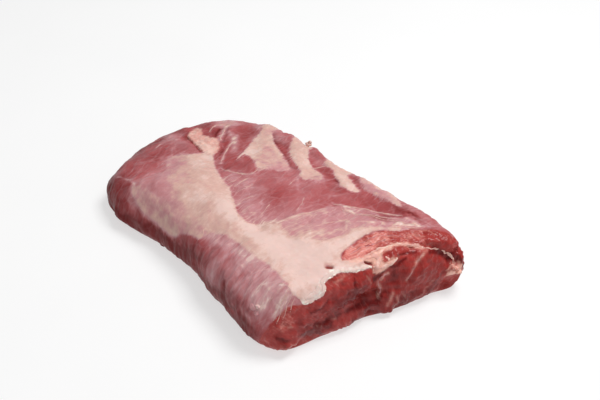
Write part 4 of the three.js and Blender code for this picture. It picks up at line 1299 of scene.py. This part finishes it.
# the top of the cut, painted lightest as if lit
pale_lit_cut_top = beef.between(drawn["cut_dark_and_shade"], 0.45, 0.1)
fresh = beef.mix(pale_lit_cut_top * beef.between(fine_streaks, 0.5, 0.62) * 0.6, fresh, CAP_FIBRE)
fresh = beef.mix(pale_lit_cut_top * beef.between(fine_streaks, 0.48, 0.36) * 0.6, fresh, PALE_CAP_FIBRE)
fresh = beef.mix(drawn["face_pale"] * beef.between(mottle, 0.3, 0.6), fresh, CUT_THREAD)
cut_edge = drawn["cut"] + mottle_swing * 6 + pale_lit_cut_top * fine_swing * 5
cut_share = beef.between(cut_edge, -1.2, 1.2)
skin_tone = beef.mix(cut_share * (1 - sheet_share), skin_tone, fresh)

# %% Meat finish: fat and holes
fat_tone = beef.mix(beef.between(mottle * 0.5 + clouds * 0.5, 0.42, 0.56), CREAM_FAT, PINK_FAT)
fat_tone = beef.mix(beef.between(drawn["cut"], -6, 2), fat_tone, CUT_FAT)
fat_share = beef.between(drawn["fat"] + mottle_swing * 9 + fine_swing * 7, -2.5, 2)
skin_tone = beef.mix(fat_share * 0.88, skin_tone, fat_tone)
# holes: the lean under them, darkened with painted shade
skin_tone = beef.mix(drawn["shaded_holes"], skin_tone, SHADED_HOLE_RED)
print("cut and fat ready:", len(beef.tree.nodes), "nodes")

# %% Meat finish: gloss and bump
grain_height = fine_streaks * 0.3 + mottle * (0.55 + 0.3 * cut_share)
grain_height = grain_height + grain * (0.06 + 0.1 * cut_share)
grain_height = grain_height + fibres * 0.5 * cut_share + 0.3 * lines
BUMP_STRENGTH, BUMP_DEPTH = 0.5, 0.0012  # the depth in metres
bump = beef.node("ShaderNodeBump", {}, {
    "Strength": BUMP_STRENGTH, "Distance": BUMP_DEPTH, "Height": grain_height,
})
gloss = 0.36 + 0.22 * beef.between(mottle, 0.3, 0.7) + 0.1 * sheet_share - 0.08 * cut_share
surface = beef.node("ShaderNodeBsdfPrincipled", {}, {
    "Base Color": skin_tone, "Roughness": gloss, "Normal": bump,
    "IOR": 1.4, "Specular IOR Level": 0.16, "Subsurface Weight": 0.1,
    "Subsurface Radius": (1.0, 0.35, 0.25), "Subsurface Scale": 0.004,
    "Coat Weight": 0.06 + 0.2 * cut_share, "Coat Roughness": 0.2,
})
beef.node("ShaderNodeOutputMaterial", {}, {"Surface": surface})
for piece in [meat, *pieces]:
    piece.data.materials.append(beef.material)
print("meat finish:", len(beef.tree.nodes), "nodes")

# %% [markdown]
# ## Floor and light
# The photograph was taken on white under soft light from above, with no shadow kept. A pale
# floor that is much larger than the view, one broad lamp overhead, a weak one in front and a
# bright surround give that look. The broad lamp stands a little behind the roll, so the near
# faces fall into shade.

# %% Floor
FLOOR_REACH = 6000
corners = np.array([[-1, -1, 0], [1, -1, 0], [1, 1, 0], [-1, 1, 0]]) * FLOOR_REACH
floor_finish = Finish("pale_floor")
paper = floor_finish.noise(floor_finish.node("ShaderNodeTexCoord", output="Object"), 6, 2)
floor_tone = floor_finish.mix(paper, (0.36, 0.36, 0.36, 1), (0.39, 0.39, 0.39, 1))
floor_surface = floor_finish.node("ShaderNodeBsdfPrincipled", {}, {
    "Base Color": floor_tone, "Roughness": 0.9,
    "Emission Color": (1, 1, 1, 1), "Emission Strength": 0.6,
})
floor_finish.node("ShaderNodeOutputMaterial", {}, {"Surface": floor_surface})
floor_mesh = bpy.data.meshes.new("floor")
floor_mesh.from_pydata((corners * MM).tolist(), [], [(0, 1, 2, 3)])
floor_mesh.materials.append(floor_finish.material)
floor = bpy.data.objects.new("floor", floor_mesh)
bpy.context.scene.collection.objects.link(floor)


# %% Lamps and surround
def soft_lamp(name, around, above, distance, size, watts, aim=(0, 0, 0.03)):
    """A square area lamp turned towards the roll."""
    data = bpy.data.lights.new(name, "AREA")
    data.size = size
    data.energy = watts
    lamp = bpy.data.objects.new(name, data)
    bpy.context.scene.collection.objects.link(lamp)
    turn_to(lamp, np.array(aim) + distance * towards(np.radians(around), np.radians(above)), aim)


soft_lamp("overhead", around=150, above=68, distance=1.8, size=0.8, watts=26)
soft_lamp("near_fill", around=75, above=45, distance=2.2, size=1.0, watts=3)

SURROUND_STRENGTH = 0.3
world = bpy.data.worlds.new("surround")
world.use_nodes = True
world.node_tree.nodes["Background"].inputs["Color"].default_value = (1, 1, 1, 1)
world.node_tree.nodes["Background"].inputs["Strength"].default_value = SURROUND_STRENGTH
bpy.context.scene.world = world
bpy.context.scene.view_settings.view_transform = "Standard"
